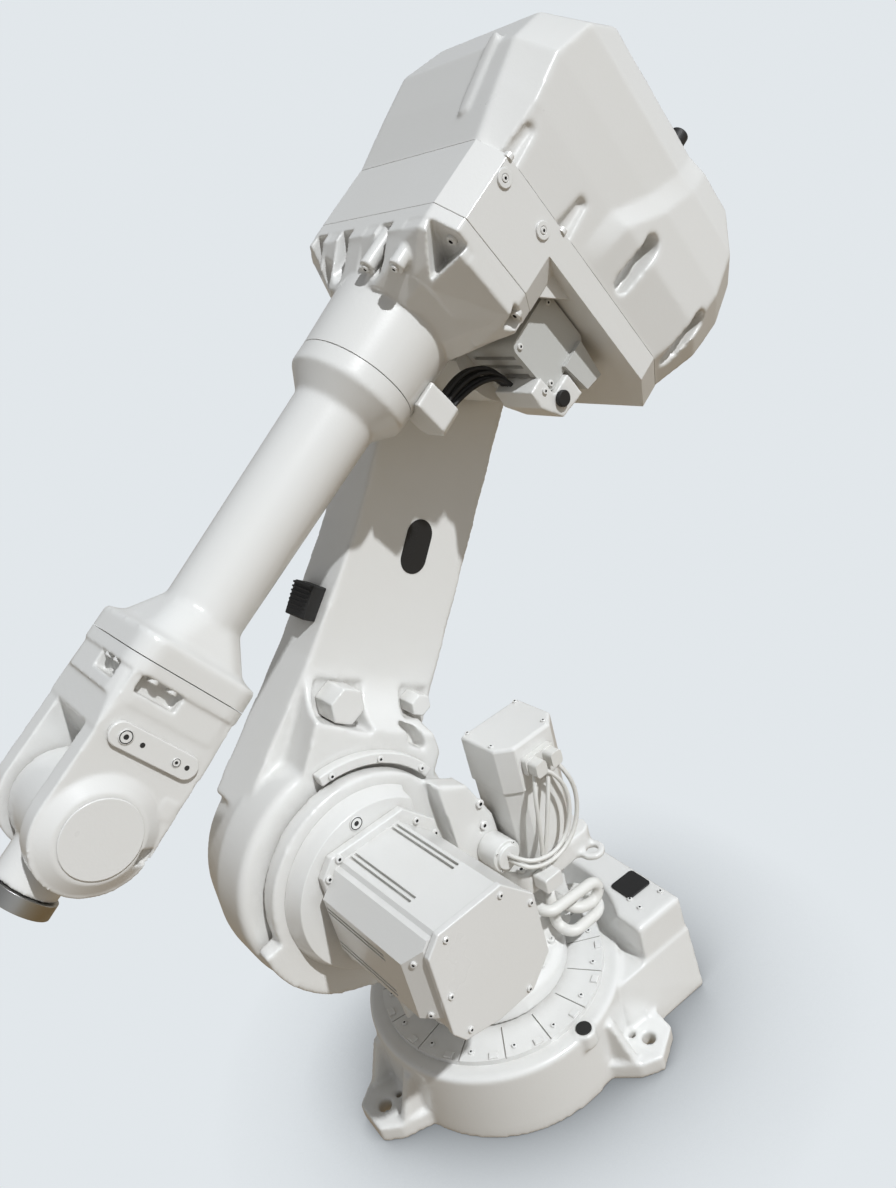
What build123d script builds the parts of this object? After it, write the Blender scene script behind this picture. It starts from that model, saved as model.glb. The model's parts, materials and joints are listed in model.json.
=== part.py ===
"""Six-axis industrial robot arm, built as separate castings, motors, covers and leads in one frame."""

import os
from math import atan2, cos, degrees, radians, sin

from build123d import *

os.makedirs("parts", exist_ok=True)

# Kinematic chain at rest, in millimetres and degrees
AXIS_1_TURN = 4.0
AXIS_2_X = 178.0
AXIS_2_Z = 525.0
LOWER_LENGTH = 925.0
LOWER_LEAN = -36.0
ELBOW_RISE = 167.0
FOREARM_DROP = 32.5
WRIST_REACH = 955.0
FLANGE_REACH = 135.0

# Clearances: bearing journals run in their bores, turning castings stand apart by the turning gap
RUNNING_FIT = 0.05
SEAT_GAP = 0.1
TURN_GAP = 6.0

# Base
JOURNAL_1_R = 120.0
DRUM_R = 245.0
DRUM_H = 150.0
RING_COVER_T = 10.0
RING_COVER_R = DRUM_R - 30
RING_COVER_BORE = JOURNAL_1_R + 2
RING_SEAMS = 16
RING_TURN = 3.0
FOOT_COUNT = 3
FOOT_T = 36.0
FOOT_END_R = DRUM_R + 77
FOOT_BOLT_R = FOOT_END_R - 34
FOOT_PIN_R = DRUM_R + 12
FOOT_BOLT_HOLE_R = 13.0
FOOT_PIN_HOLE_R = 7.0
FOOT_HALF_W = 66.0
FOOT_WEB_T = 18.0
BLOCK_H = 218.0
BLOCK_REAR_X = -DRUM_R - 79
BLOCK_FRONT_X = -DRUM_R + 36
BLOCK_HALF_W = 208.0
BLOCK_DRAFT = 7.0
BLOCK_WALL_R = DRUM_R + 10
TURN_CLEAR_R = DRUM_R - 15
PLUG_TURN = 96.0
PLUG_COLLAR_T = 3.0

# Turret
TURRET_DISC_R = JOURNAL_1_R + 30
TURRET_DISC_Z = DRUM_H + RING_COVER_T + TURN_GAP
TURRET_DISC_T = 46.0
TURRET_TOP_Z = TURRET_DISC_Z + TURRET_DISC_T
GEAR_2_R = 177.0
GEAR_2_FAR_Y = -20.0
GEAR_2_RIM_Y = 14.0
GEAR_2_DISC_R = 158.0
GEAR_2_DISC_TAPER = 20.0
GEAR_2_NEAR_Y = 46.0
JOURNAL_2_R = 100.0
MOTOR_2_FOOT_Y = GEAR_2_NEAR_Y + 16
MOTOR_2_END_Y = 311.0
MOTOR_2_LEFT = 100.0
MOTOR_2_RIGHT = 88.0
MOTOR_2_SIDE_BOX = 24.0
MOTOR_2_TOP = 97.0
MOTOR_2_LOW = 112.0
MOTOR_2_COVER_T = 12.0
MOTOR_2_X = AXIS_2_X - 8
BOX_FRONT_X = MOTOR_2_X + MOTOR_2_RIGHT + MOTOR_2_SIDE_BOX
MOTOR_1_X = -142.0
MOTOR_1_Y = 54.0
MOTOR_1_LEN_X = 138.0
MOTOR_1_LEN_Y = 112.0
MOTOR_1_CHAMFER = 26.0
MOTOR_1_FOOT_Z = 400.0
MOTOR_1_TOP_Z = 643.0
MOTOR_1_CAP_H = 92.0
MOTOR_1_NEAR_Y = MOTOR_1_Y + MOTOR_1_LEN_Y / 2
SHELF_T = 46.0
SHELF_NEAR_Y = MOTOR_1_NEAR_Y + 9
SHELF_LEN_Y = 166.0
PEDESTAL_Y = 26.0
PEDESTAL_LEN_Y = 110.0
PEDESTAL_NEAR_Y = PEDESTAL_Y + PEDESTAL_LEN_Y / 2
PEDESTAL_X = -108.0
PEDESTAL_LEN_X = 124.0
PEDESTAL_REAR_X = PEDESTAL_X - PEDESTAL_LEN_X / 2
LEAD_R = 4.5
CONDUIT_R = 10.5

# Lower arm
HUB_R = 212.0
HUB_EDGE_R = 16.0
HUB_NEAR_Y = GEAR_2_FAR_Y - TURN_GAP
WEB_NEAR_Y = -93.0
ARM_FAR_Y = -200.0
WEB_HALF_W = 122.0
RAMP_TOP_S = HUB_R + 108
OVAL_PLUG_T = 1.0
STOP_IN_R = GEAR_2_R + 8
STOP_T = 21.0
JOURNAL_3_R = 80.0

# Upper arm
ELBOW_FAR_Y = WEB_NEAR_Y + TURN_GAP
ELBOW_GEAR_R = 118.0
ELBOW_GEAR_NEAR_Y = 8.0
HOUSING_FRONT_S = 45.0
HOUSING_REAR_S = -68.0
HOUSING_HALF_W = 178.0
HOUSING_TOP_N = 122.0
HOUSING_FLOOR_N = -88.0
FAR_FLOOR_N = -24.0
MOTOR_3_HALF = 54.0
MOTOR_3_S = 34.0
MOTOR_3_END_Y = 128.0
COLLAR_R = 93.0
COLLAR_END_S = HOUSING_FRONT_S + 200
NECK_R = 101.0
PLATE_T = 44.0
FRONT_PLATE_T = 40.0
JOURNAL_4_R = 50.0

# Forearm, wrist and flange
AXIS_4_SEAM = 1.5
COLLAR_LEN = 30.0
TUBE_START_S = COLLAR_END_S + 64
TUBE_R = 65.0
TUBE_END_R = 58.0
WRIST_SEAM_S = WRIST_REACH - 217
WRIST_FLANGE_T = 33.0
FLARE_LEN = 52.0
WRIST_HALF = 92.0
WRIST_BLOCK_LEN = 60.0
CHEEK_R = 84.0
CHEEK_OUT_Y = 90.0
CHEEK_DOME = 13.0
CHEEK_IN_Y = 56.0
JOURNAL_5_R = 40.0
TILT_HALF_W = CHEEK_IN_Y - TURN_GAP
TILT_R = 72.0
NOSE_R = 46.0
JOURNAL_6_R = 30.0
FLANGE_R = 50.0
FLANGE_T = 22.0
FLANGE_PCD = 80.0
FLANGE_HOLE_R = 4.0
FLANGE_PILOT_R = 25.0


def turned(angle):
    """Frame on the first axis at the floor, turned about it."""
    return Plane(origin=(0, 0, 0), x_dir=(cos(radians(angle)), sin(radians(angle)), 0), z_dir=(0, 0, 1))


def tipped(frame, point, angle):
    """Frame at a point of another frame, tipped about that frame's Y axis."""
    x_dir = frame.x_dir * cos(radians(angle)) - frame.z_dir * sin(radians(angle))
    z_dir = frame.x_dir * sin(radians(angle)) + frame.z_dir * cos(radians(angle))
    return Plane(origin=frame.from_local_coords(point), x_dir=x_dir, z_dir=z_dir)


def side(frame, y):
    """Plane of a frame that looks along -Y from the given y: local x is X, local y is Z."""
    return Plane(origin=frame.from_local_coords((0, y, 0)), x_dir=frame.x_dir, z_dir=frame.y_dir * -1)


def cross(frame, x):
    """Plane of a frame across its X axis: local x is Y, local y is Z, extrusions run along +X."""
    return Plane(origin=frame.from_local_coords((x, 0, 0)), x_dir=frame.y_dir, z_dir=frame.x_dir)


def level(frame, x, y, z):
    """Plane of a frame parallel to its XY plane through a point."""
    return Plane(origin=frame.from_local_coords((x, y, z)), x_dir=frame.x_dir, z_dir=frame.z_dir)


def save(builder, name):
    """Label a finished sub-part and write its file."""
    builder.part.label = name
    export_step(builder.part, "parts/" + name + ".step")


TURRET = turned(AXIS_1_TURN)
LOWER = tipped(TURRET, (AXIS_2_X, 0, AXIS_2_Z), LOWER_LEAN)
UPPER = tipped(LOWER, (0, 0, LOWER_LENGTH), FOREARM_DROP - LOWER_LEAN)
FORE = level(UPPER, 0, 0, ELBOW_RISE)
WRIST = level(FORE, WRIST_REACH, 0, 0)


# Base casting: drum, three radial feet with webs, and the connector block across the back
with BuildPart() as base_casting:
    with BuildSketch(Plane.XY):
        Circle(DRUM_R)
    extrude(amount=DRUM_H)
    chamfer(base_casting.edges().group_by(Axis.Z)[-1], 5)
    for foot in range(FOOT_COUNT):
        foot_frame = turned(foot * 360 / FOOT_COUNT)
        with BuildSketch(foot_frame):
            with BuildLine():
                Polyline(
                    (180, -FOOT_HALF_W - 22), (FOOT_END_R - 34, -FOOT_HALF_W + 6), (FOOT_END_R, -34),
                    (FOOT_END_R, 34), (FOOT_END_R - 34, FOOT_HALF_W - 6), (180, FOOT_HALF_W + 22),
                    close=True,
                )
            make_face()
        extrude(amount=FOOT_T)
        for hand in (-1, 1):
            with BuildSketch(side(foot_frame, hand * (FOOT_HALF_W - 14) + FOOT_WEB_T / 2)):
                with BuildLine():
                    Polyline((200, 0), (FOOT_END_R - 42, 0), (FOOT_END_R - 42, FOOT_T + 6),
                             (DRUM_R + 4, DRUM_H - 26), (200, DRUM_H - 26), close=True)
                make_face()
            extrude(amount=FOOT_WEB_T)
    block_mid = (BLOCK_REAR_X + BLOCK_FRONT_X) / 2
    block_len = BLOCK_FRONT_X - BLOCK_REAR_X
    with BuildSketch(level(turned(0), block_mid, 0, 0)):
        Rectangle(block_len, 2 * BLOCK_HALF_W)
    with BuildSketch(level(turned(0), block_mid + BLOCK_DRAFT / 2, 0, BLOCK_H)):
        Rectangle(block_len - BLOCK_DRAFT, 2 * (BLOCK_HALF_W - BLOCK_DRAFT))
    loft()
    fillet(base_casting.edges().group_by(Axis.Z)[-1], 8)
    with BuildSketch(Plane.XY.offset(DRUM_H)):
        Circle(TURN_CLEAR_R)
    with BuildSketch(Plane.XY.offset(BLOCK_H + 1)):
        Circle(BLOCK_WALL_R)
    loft(mode=Mode.SUBTRACT)
    # Raised collar of the grease plug on the drum's edge
    with BuildSketch(level(turned(PLUG_TURN), DRUM_R - 9, 0, DRUM_H - 30)):
        Circle(20)
    extrude(amount=30 + PLUG_COLLAR_T)
    with BuildSketch(Plane.XY.offset(60)):
        Circle(JOURNAL_1_R + RUNNING_FIT)
    extrude(amount=DRUM_H, mode=Mode.SUBTRACT)
    with BuildSketch(Plane.XY):
        with PolarLocations(FOOT_BOLT_R, FOOT_COUNT):
            Circle(FOOT_BOLT_HOLE_R)
        with PolarLocations(FOOT_PIN_R, FOOT_COUNT):
            Circle(FOOT_PIN_HOLE_R)
    extrude(amount=FOOT_T, mode=Mode.SUBTRACT)
save(base_casting, "base_casting")

with BuildPart() as ring_cover:
    with BuildSketch(Plane.XY.offset(DRUM_H)):
        Circle(RING_COVER_R)
        Circle(RING_COVER_BORE, mode=Mode.SUBTRACT)
    extrude(amount=RING_COVER_T)
    for seam in range(RING_SEAMS):
        seam_frame = turned(RING_TURN + (seam + 0.5) * 360 / RING_SEAMS)
        with BuildSketch(level(seam_frame, RING_COVER_R - 32, 0, DRUM_H + RING_COVER_T - 4)):
            Rectangle(66, 2.4)
        extrude(amount=4, mode=Mode.SUBTRACT)
save(ring_cover, "ring_cover")

WINDOW_X = BLOCK_REAR_X + 44
WINDOW_Y = BLOCK_HALF_W - 98
with BuildPart() as base_window:
    with BuildSketch(level(turned(0), WINDOW_X, WINDOW_Y, BLOCK_H)):
        RectangleRounded(58, 54, 8)
    extrude(amount=4)
save(base_window, "base_window")

with BuildPart() as base_plug:
    with BuildSketch(level(turned(PLUG_TURN), DRUM_R - 9, 0, DRUM_H + PLUG_COLLAR_T)):
        Circle(14)
    extrude(amount=3)
save(base_plug, "base_plug")

PANEL_FACE = Plane(origin=(BLOCK_REAR_X + BLOCK_DRAFT / 2, 0, BLOCK_H / 2), x_dir=(0, -1, 0),
                   z_dir=(-BLOCK_H, 0, BLOCK_DRAFT))
PANEL_T = 8.0
with BuildPart() as connector_panel:
    with BuildSketch(PANEL_FACE):
        RectangleRounded(330, 150, 10)
    extrude(amount=PANEL_T)
    with BuildSketch(PANEL_FACE.offset(PANEL_T)):
        with Locations((-105, 10), (0, 10), (105, 10)):
            Circle(32)
    extrude(amount=20)
    with BuildSketch(PANEL_FACE.offset(PANEL_T + 20)):
        with Locations((-105, 10), (0, 10), (105, 10)):
            Circle(25)
    extrude(amount=9)
save(connector_panel, "connector_panel")

# Turret: disc on the base, pedestal and cradle up to the second axis, and the shelf for the first motor
with BuildPart() as turret_casting:
    with BuildSketch(level(TURRET, 0, 0, TURRET_DISC_Z)):
        Circle(TURRET_DISC_R)
    extrude(amount=TURRET_DISC_T)
    chamfer(turret_casting.edges().group_by(Axis.Z)[-1], 12)
    with BuildSketch(level(TURRET, 0, 0, DRUM_H - 50)):
        Circle(JOURNAL_1_R)
    extrude(amount=TURRET_DISC_Z - DRUM_H + 50)
    with BuildSketch(side(TURRET, GEAR_2_RIM_Y)):
        with Locations((AXIS_2_X, AXIS_2_Z)):
            Circle(GEAR_2_R)
    extrude(amount=GEAR_2_RIM_Y - GEAR_2_FAR_Y)
    # Cradle under the gear: its front end is the stop for the lower arm's stop segment
    with BuildSketch(side(TURRET, GEAR_2_RIM_Y)):
        with BuildLine():
            inner = CenterArc((AXIS_2_X, AXIS_2_Z), GEAR_2_R - 4, -4, -150)
            outer = CenterArc((AXIS_2_X, AXIS_2_Z), HUB_R - 4, -4, -150)
            Line(inner @ 0, outer @ 0)
            Line(inner @ 1, outer @ 1)
        make_face()
    extrude(amount=GEAR_2_RIM_Y - GEAR_2_FAR_Y - 2)
    with BuildSketch(side(TURRET, GEAR_2_RIM_Y)):
        with BuildLine():
            Polyline((-160, TURRET_TOP_Z - 10), (-130, 330), (-70, 400), (AXIS_2_X - 150, 470),
                     (AXIS_2_X, AXIS_2_Z), (AXIS_2_X + 172, 470), (AXIS_2_X + 130, 370), (206, 300),
                     (200, TURRET_TOP_Z - 10), close=True)
        make_face()
    extrude(amount=GEAR_2_RIM_Y - 2)
    # Arm of the casting behind the gear that carries the first motor's shelf
    with BuildSketch(side(TURRET, GEAR_2_NEAR_Y)):
        with BuildLine():
            Polyline((AXIS_2_X - 150, 620), (-30, 585), (-66, 500), (-76, MOTOR_1_FOOT_Z - 20),
                     (-30, 300), (AXIS_2_X - 160, 420), close=True)
        make_face()
    extrude(amount=GEAR_2_NEAR_Y - 2)
    with BuildSketch(level(TURRET, 10, 26, TURRET_TOP_Z)):
        RectangleRounded(330, 150, 30)
    with BuildSketch(level(TURRET, 60, 30, 372)):
        RectangleRounded(250, 56, 20)
    loft()
    shelf_y = SHELF_NEAR_Y - SHELF_LEN_Y / 2
    with BuildSketch(level(TURRET, MOTOR_1_X + 10, shelf_y, MOTOR_1_FOOT_Z - SHELF_T)):
        RectangleRounded(180, SHELF_LEN_Y, 24)
    extrude(amount=SHELF_T)
    with BuildSketch(level(TURRET, PEDESTAL_X, PEDESTAL_Y, TURRET_TOP_Z)):
        RectangleRounded(PEDESTAL_LEN_X, PEDESTAL_LEN_Y, 20)
    extrude(amount=MOTOR_1_FOOT_Z - SHELF_T - TURRET_TOP_Z)
    # Lifting lug on the shelf's near rear corner
    with BuildSketch(level(TURRET, MOTOR_1_X - 56, MOTOR_1_NEAR_Y + 20, MOTOR_1_FOOT_Z - SHELF_T)):
        Circle(24)
        Circle(11, mode=Mode.SUBTRACT)
    extrude(amount=12)
    with BuildSketch(side(TURRET, GEAR_2_FAR_Y + 32)):
        with Locations((AXIS_2_X, AXIS_2_Z)):
            Circle(JOURNAL_2_R + RUNNING_FIT)
    extrude(amount=80, mode=Mode.SUBTRACT)
save(turret_casting, "turret_casting")

# Gear cap of the second axis, the motor's foot plate and the round cover beside the shelf
with BuildPart() as axis_2_ring:
    with BuildSketch(side(TURRET, GEAR_2_RIM_Y)):
        with Locations((AXIS_2_X, AXIS_2_Z)):
            Circle(GEAR_2_DISC_R)
    extrude(amount=GEAR_2_RIM_Y - GEAR_2_NEAR_Y, taper=GEAR_2_DISC_TAPER)
    with BuildSketch(side(TURRET, GEAR_2_NEAR_Y)):
        with BuildLine():
            Polyline((-80, 640), (AXIS_2_X - 100, 640), (AXIS_2_X - 100, 360), (-80, 360), close=True)
        make_face()
    extrude(amount=GEAR_2_NEAR_Y - GEAR_2_RIM_Y, mode=Mode.SUBTRACT)
    with BuildSketch(side(TURRET, GEAR_2_NEAR_Y)):
        with BuildLine():
            Polyline((-100, 384), (AXIS_2_X + 180, 384), (AXIS_2_X + 180, 300), (-100, 300), close=True)
        make_face()
    extrude(amount=GEAR_2_NEAR_Y - GEAR_2_RIM_Y, mode=Mode.SUBTRACT)
save(axis_2_ring, "axis_2_ring")

SIDE_COVER_AT = (-42, 442)
SIDE_COVER_END_Y = GEAR_2_NEAR_Y + 52
with BuildPart() as side_cover:
    with BuildSketch(side(TURRET, SIDE_COVER_END_Y - 6)):
        with Locations(SIDE_COVER_AT):
            Circle(30)
    extrude(amount=SIDE_COVER_END_Y - 6 - GEAR_2_NEAR_Y)
    with BuildSketch(side(TURRET, SIDE_COVER_END_Y)):
        with Locations(SIDE_COVER_AT):
            Circle(23)
    extrude(amount=6)
save(side_cover, "side_cover")


def motor_2_outline(grow):
    """Nine-cornered section of the second motor, grown or shrunk on every side."""
    left = MOTOR_2_LEFT + grow
    right = MOTOR_2_RIGHT + grow
    top = MOTOR_2_TOP + grow
    low = MOTOR_2_LOW + grow
    corners = [(right, top - 26), (right - 25, top), (50 - left, top), (-left, top - 56), (-left, 42 - low),
               (44 - left, -low), (12, -low), (right - 16, 16 - low), (right, 42 - low)]
    return [(MOTOR_2_X + x, AXIS_2_Z + z) for x, z in corners]


with BuildPart() as axis_2_flange:
    with BuildSketch(side(TURRET, MOTOR_2_FOOT_Y)):
        with BuildLine():
            Polyline(*motor_2_outline(14), close=True)
        make_face()
    extrude(amount=MOTOR_2_FOOT_Y - GEAR_2_NEAR_Y)
save(axis_2_flange, "axis_2_flange")

SLOT_W = 5.0
SLOT_DEPTH = 6.0
SLOT_MID_Y = MOTOR_2_FOOT_Y + 84
BOX_BACK = 30.0
with BuildPart() as axis_2_motor:
    with BuildSketch(side(TURRET, MOTOR_2_END_Y - MOTOR_2_COVER_T)):
        with BuildLine():
            Polyline(*motor_2_outline(0), close=True)
        make_face()
    extrude(amount=MOTOR_2_END_Y - MOTOR_2_COVER_T - MOTOR_2_FOOT_Y)
    # Long box along the front side, its near end sloped back from the end cover
    with BuildSketch(level(TURRET, 0, 0, AXIS_2_Z - 48)):
        with BuildLine():
            Polyline((MOTOR_2_X + 60, MOTOR_2_FOOT_Y), (BOX_FRONT_X, MOTOR_2_FOOT_Y),
                     (BOX_FRONT_X, MOTOR_2_END_Y - MOTOR_2_COVER_T - BOX_BACK),
                     (MOTOR_2_X + MOTOR_2_RIGHT, MOTOR_2_END_Y - MOTOR_2_COVER_T),
                     (MOTOR_2_X + 60, MOTOR_2_END_Y - MOTOR_2_COVER_T), close=True)
        make_face()
    extrude(amount=48 + MOTOR_2_TOP - 6)
    with BuildSketch(side(TURRET, MOTOR_2_END_Y)):
        with BuildLine():
            Polyline((MOTOR_2_X + 72, AXIS_2_Z + MOTOR_2_TOP), (BOX_FRONT_X + 1, AXIS_2_Z + MOTOR_2_TOP - 41),
                     (BOX_FRONT_X + 1, AXIS_2_Z + MOTOR_2_TOP), close=True)
        make_face()
    extrude(amount=MOTOR_2_END_Y - MOTOR_2_FOOT_Y, mode=Mode.SUBTRACT)
    # Cooling slots in pairs on the top and front faces
    for slot_x in (-42, -33, 40, 49):
        with BuildSketch(level(TURRET, MOTOR_2_X + slot_x, SLOT_MID_Y, AXIS_2_Z + MOTOR_2_TOP)):
            SlotOverall(160, SLOT_W, rotation=90)
        extrude(amount=-SLOT_DEPTH, mode=Mode.SUBTRACT)
    for slot_z in (-38, -29, 32, 41):
        with BuildSketch(cross(TURRET, BOX_FRONT_X)):
            with Locations((SLOT_MID_Y - 4, AXIS_2_Z + slot_z)):
                SlotOverall(156, SLOT_W)
        extrude(amount=-SLOT_DEPTH, mode=Mode.SUBTRACT)
save(axis_2_motor, "axis_2_motor")

with BuildPart() as axis_2_motor_cover:
    with BuildSketch(side(TURRET, MOTOR_2_END_Y)):
        with BuildLine():
            Polyline(*motor_2_outline(2), close=True)
        make_face()
    extrude(amount=MOTOR_2_COVER_T)
save(axis_2_motor_cover, "axis_2_motor_cover")


def motor_1_outline(grow):
    """Section of the first motor with its two near corners cut."""
    half_x = MOTOR_1_LEN_X / 2 + grow
    half_y = MOTOR_1_LEN_Y / 2 + grow
    cut = MOTOR_1_CHAMFER
    ends = [(half_x, half_y - cut), (half_x - cut, half_y), (cut - half_x, half_y), (-half_x, half_y - cut)]
    return ends + [(-half_x, -half_y), (half_x, -half_y)]


with BuildPart() as axis_1_motor:
    with BuildSketch(level(TURRET, MOTOR_1_X, MOTOR_1_Y, MOTOR_1_FOOT_Z)):
        with BuildLine():
            Polyline(*motor_1_outline(-3), close=True)
        make_face()
    extrude(amount=MOTOR_1_TOP_Z - MOTOR_1_CAP_H - MOTOR_1_FOOT_Z)
save(axis_1_motor, "axis_1_motor")

with BuildPart() as axis_1_motor_cap:
    with BuildSketch(level(TURRET, MOTOR_1_X, MOTOR_1_Y, MOTOR_1_TOP_Z - MOTOR_1_CAP_H)):
        with BuildLine():
            Polyline(*motor_1_outline(0), close=True)
        make_face()
    extrude(amount=MOTOR_1_CAP_H)
    chamfer(axis_1_motor_cap.edges().group_by(Axis.Z)[-1], 4)
save(axis_1_motor_cap, "axis_1_motor_cap")

# Plugs on the first motor and the two leads that loop from them to the shelf
PLUG_Z = MOTOR_1_TOP_Z - 44
PLUG_XS = (MOTOR_1_X + 20, MOTOR_1_X - 16)
with BuildPart() as motor_plugs:
    with BuildSketch(side(TURRET, MOTOR_1_NEAR_Y + 12)):
        with Locations((MOTOR_1_X + 2, PLUG_Z)):
            RectangleRounded(66, 34, 6)
    extrude(amount=12)
    for plug_x in PLUG_XS:
        with BuildSketch(side(TURRET, MOTOR_1_NEAR_Y + 34)):
            with Locations((plug_x, PLUG_Z)):
                RectangleRounded(24, 28, 7)
        extrude(amount=22)
save(motor_plugs, "motor_plugs")

SOCKET_X = MOTOR_1_X + 58
SOCKET_Z = MOTOR_1_FOOT_Z - 16
with BuildPart() as shelf_socket:
    with BuildSketch(side(TURRET, SHELF_NEAR_Y + 34)):
        with Locations((SOCKET_X, SOCKET_Z)):
            RectangleRounded(40, 30, 5)
    extrude(amount=34)
save(shelf_socket, "shelf_socket")


LEAD_REAR_X = MOTOR_1_X - 30
LEAD_A_Y = SHELF_NEAR_Y + 20
LEAD_B_Y = SHELF_NEAR_Y + 8
LEAD_LOW_Z = MOTOR_1_FOOT_Z + 12
LEAD_PATHS = [
    ("lead_a", (24, 30, 52, 22, 24), [
        (PLUG_XS[0], LEAD_A_Y, PLUG_Z - 14), (PLUG_XS[0], LEAD_A_Y, PLUG_Z - 44),
        (LEAD_REAR_X, LEAD_A_Y, PLUG_Z - 72), (LEAD_REAR_X, LEAD_A_Y, LEAD_LOW_Z),
        (SIDE_COVER_AT[0] - 50, LEAD_A_Y, LEAD_LOW_Z), (SIDE_COVER_AT[0], LEAD_A_Y, SIDE_COVER_AT[1] - 4),
        (SIDE_COVER_AT[0], SIDE_COVER_END_Y, SIDE_COVER_AT[1] - 4)]),
    ("lead_b", (22, 60), [
        (PLUG_XS[1] - 12, LEAD_B_Y, PLUG_Z - 4), (LEAD_REAR_X - 24, LEAD_B_Y, PLUG_Z - 4),
        (LEAD_REAR_X - 24, LEAD_B_Y, SOCKET_Z), (SOCKET_X - 20, LEAD_B_Y, SOCKET_Z)]),
]
for lead_name, lead_bends, lead_points in LEAD_PATHS:
    with BuildPart() as lead:
        with BuildLine():
            lead_line = FilletPolyline(
                *[TURRET.from_local_coords(point) for point in lead_points], radius=lead_bends
            )
        with BuildSketch(Plane(lead_line @ 0, z_dir=lead_line % 0)):
            Circle(LEAD_R)
        sweep(path=lead_line)
    save(lead, lead_name)

# Conduits that loop out from under the shelf and back into the pedestal
CONDUIT_TOP_Z = MOTOR_1_FOOT_Z - SHELF_T
CONDUIT_OUT_Y = SHELF_NEAR_Y + 19
CONDUIT_PATHS = [
    ("conduit_a", (20, 20, 22, 22, 20), [
        (-60, 94, CONDUIT_TOP_Z), (-60, 94, CONDUIT_TOP_Z - 32), (-66, CONDUIT_OUT_Y, CONDUIT_TOP_Z - 38),
        (-186, CONDUIT_OUT_Y, CONDUIT_TOP_Z - 50), (-186, CONDUIT_OUT_Y, CONDUIT_TOP_Z - 97),
        (-124, CONDUIT_OUT_Y, CONDUIT_TOP_Z - 76), (-124, PEDESTAL_NEAR_Y, CONDUIT_TOP_Z - 76)]),
    ("conduit_b", (20, 20, 36, 20), [
        (-98, 106, CONDUIT_TOP_Z), (-98, 106, CONDUIT_TOP_Z - 112),
        (-106, CONDUIT_OUT_Y, CONDUIT_TOP_Z - 118), (-196, CONDUIT_OUT_Y, CONDUIT_TOP_Z - 122),
        (-196, 48, CONDUIT_TOP_Z - 124), (PEDESTAL_REAR_X, 48, CONDUIT_TOP_Z - 124)]),
]
for conduit_name, conduit_bends, conduit_points in CONDUIT_PATHS:
    with BuildPart() as conduit:
        with BuildLine():
            conduit_line = FilletPolyline(
                *[TURRET.from_local_coords(point) for point in conduit_points], radius=conduit_bends
            )
        with BuildSketch(Plane(conduit_line @ 0, z_dir=conduit_line % 0)):
            Circle(CONDUIT_R)
        sweep(path=conduit_line)
    save(conduit, conduit_name)

# Lower arm: hub on the second axis, tapering web up to the elbow
with BuildPart() as lower_arm_casting:
    with BuildSketch(side(LOWER, HUB_NEAR_Y)):
        Circle(HUB_R)
    extrude(amount=84)
    fillet(lower_arm_casting.edges().group_by(Axis((0, 0, 0), TURRET.y_dir))[-1], HUB_EDGE_R)
    with BuildSketch(side(LOWER, HUB_NEAR_Y - 84)):
        Circle(HUB_R)
    extrude(amount=HUB_NEAR_Y - 84 - ARM_FAR_Y, taper=14)
    with BuildSketch(side(LOWER, WEB_NEAR_Y)):
        with BuildLine():
            Polyline((WEB_HALF_W, LOWER_LENGTH), (WEB_HALF_W, LOWER_LENGTH - 365), (130, 470), (147, 330),
                     (198, 60), (0, 0), (-WEB_HALF_W, 60), (-WEB_HALF_W, LOWER_LENGTH))
            ThreePointArc(
                (-WEB_HALF_W, LOWER_LENGTH), (0, LOWER_LENGTH + WEB_HALF_W), (WEB_HALF_W, LOWER_LENGTH)
            )
        make_face()
    extrude(amount=WEB_NEAR_Y - ARM_FAR_Y)
    # Ramp from the web out to the hub's near face
    with BuildSketch(cross(LOWER, -WEB_HALF_W)):
        with BuildLine():
            ramp = TangentArc((WEB_NEAR_Y, RAMP_TOP_S), (HUB_NEAR_Y, HUB_R + 26), tangent=(0, -1))
            Polyline(ramp @ 1, (HUB_NEAR_Y, 100), (WEB_NEAR_Y - 20, 100), (WEB_NEAR_Y - 20, RAMP_TOP_S),
                     ramp @ 0)
        make_face()
    extrude(amount=2 * WEB_HALF_W + 26)
    with BuildSketch(side(LOWER, HUB_NEAR_Y + 1)):
        with BuildLine():
            Polyline((-112, 330), (-96, 286), (-80, 258), (-152, 172), (-240, 172), (-240, 330), close=True)
        make_face()
    extrude(amount=HUB_NEAR_Y + 1 - WEB_NEAR_Y, mode=Mode.SUBTRACT)
    # Pockets in the ramp, and the three-cornered pocket by the rear edge
    with BuildSketch(side(LOWER, HUB_NEAR_Y + 1)):
        with BuildLine():
            Polyline((34, 300), (130, 296), (140, 236), (34, 226), close=True)
        make_face()
        with BuildLine():
            Polyline((-48, 304), (-108, 304), (-108, 256), (-48, 250), close=True)
        make_face()
    extrude(amount=HUB_NEAR_Y + 1 - WEB_NEAR_Y + 4, mode=Mode.SUBTRACT)
    with BuildSketch(side(LOWER, HUB_NEAR_Y + 1)):
        with BuildLine():
            Polyline((-26, 248), (-64, 243), (-94, 204), (-50, 214), close=True)
        make_face()
    extrude(amount=42, mode=Mode.SUBTRACT)
    with BuildSketch(side(LOWER, HUB_NEAR_Y + 30)):
        Circle(JOURNAL_2_R)
    extrude(amount=40)
    with BuildSketch(side(LOWER, WEB_NEAR_Y)):
        with Locations((0, LOWER_LENGTH)):
            Circle(JOURNAL_3_R + RUNNING_FIT)
    extrude(amount=46, mode=Mode.SUBTRACT)
save(lower_arm_casting, "lower_arm_casting")

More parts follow.
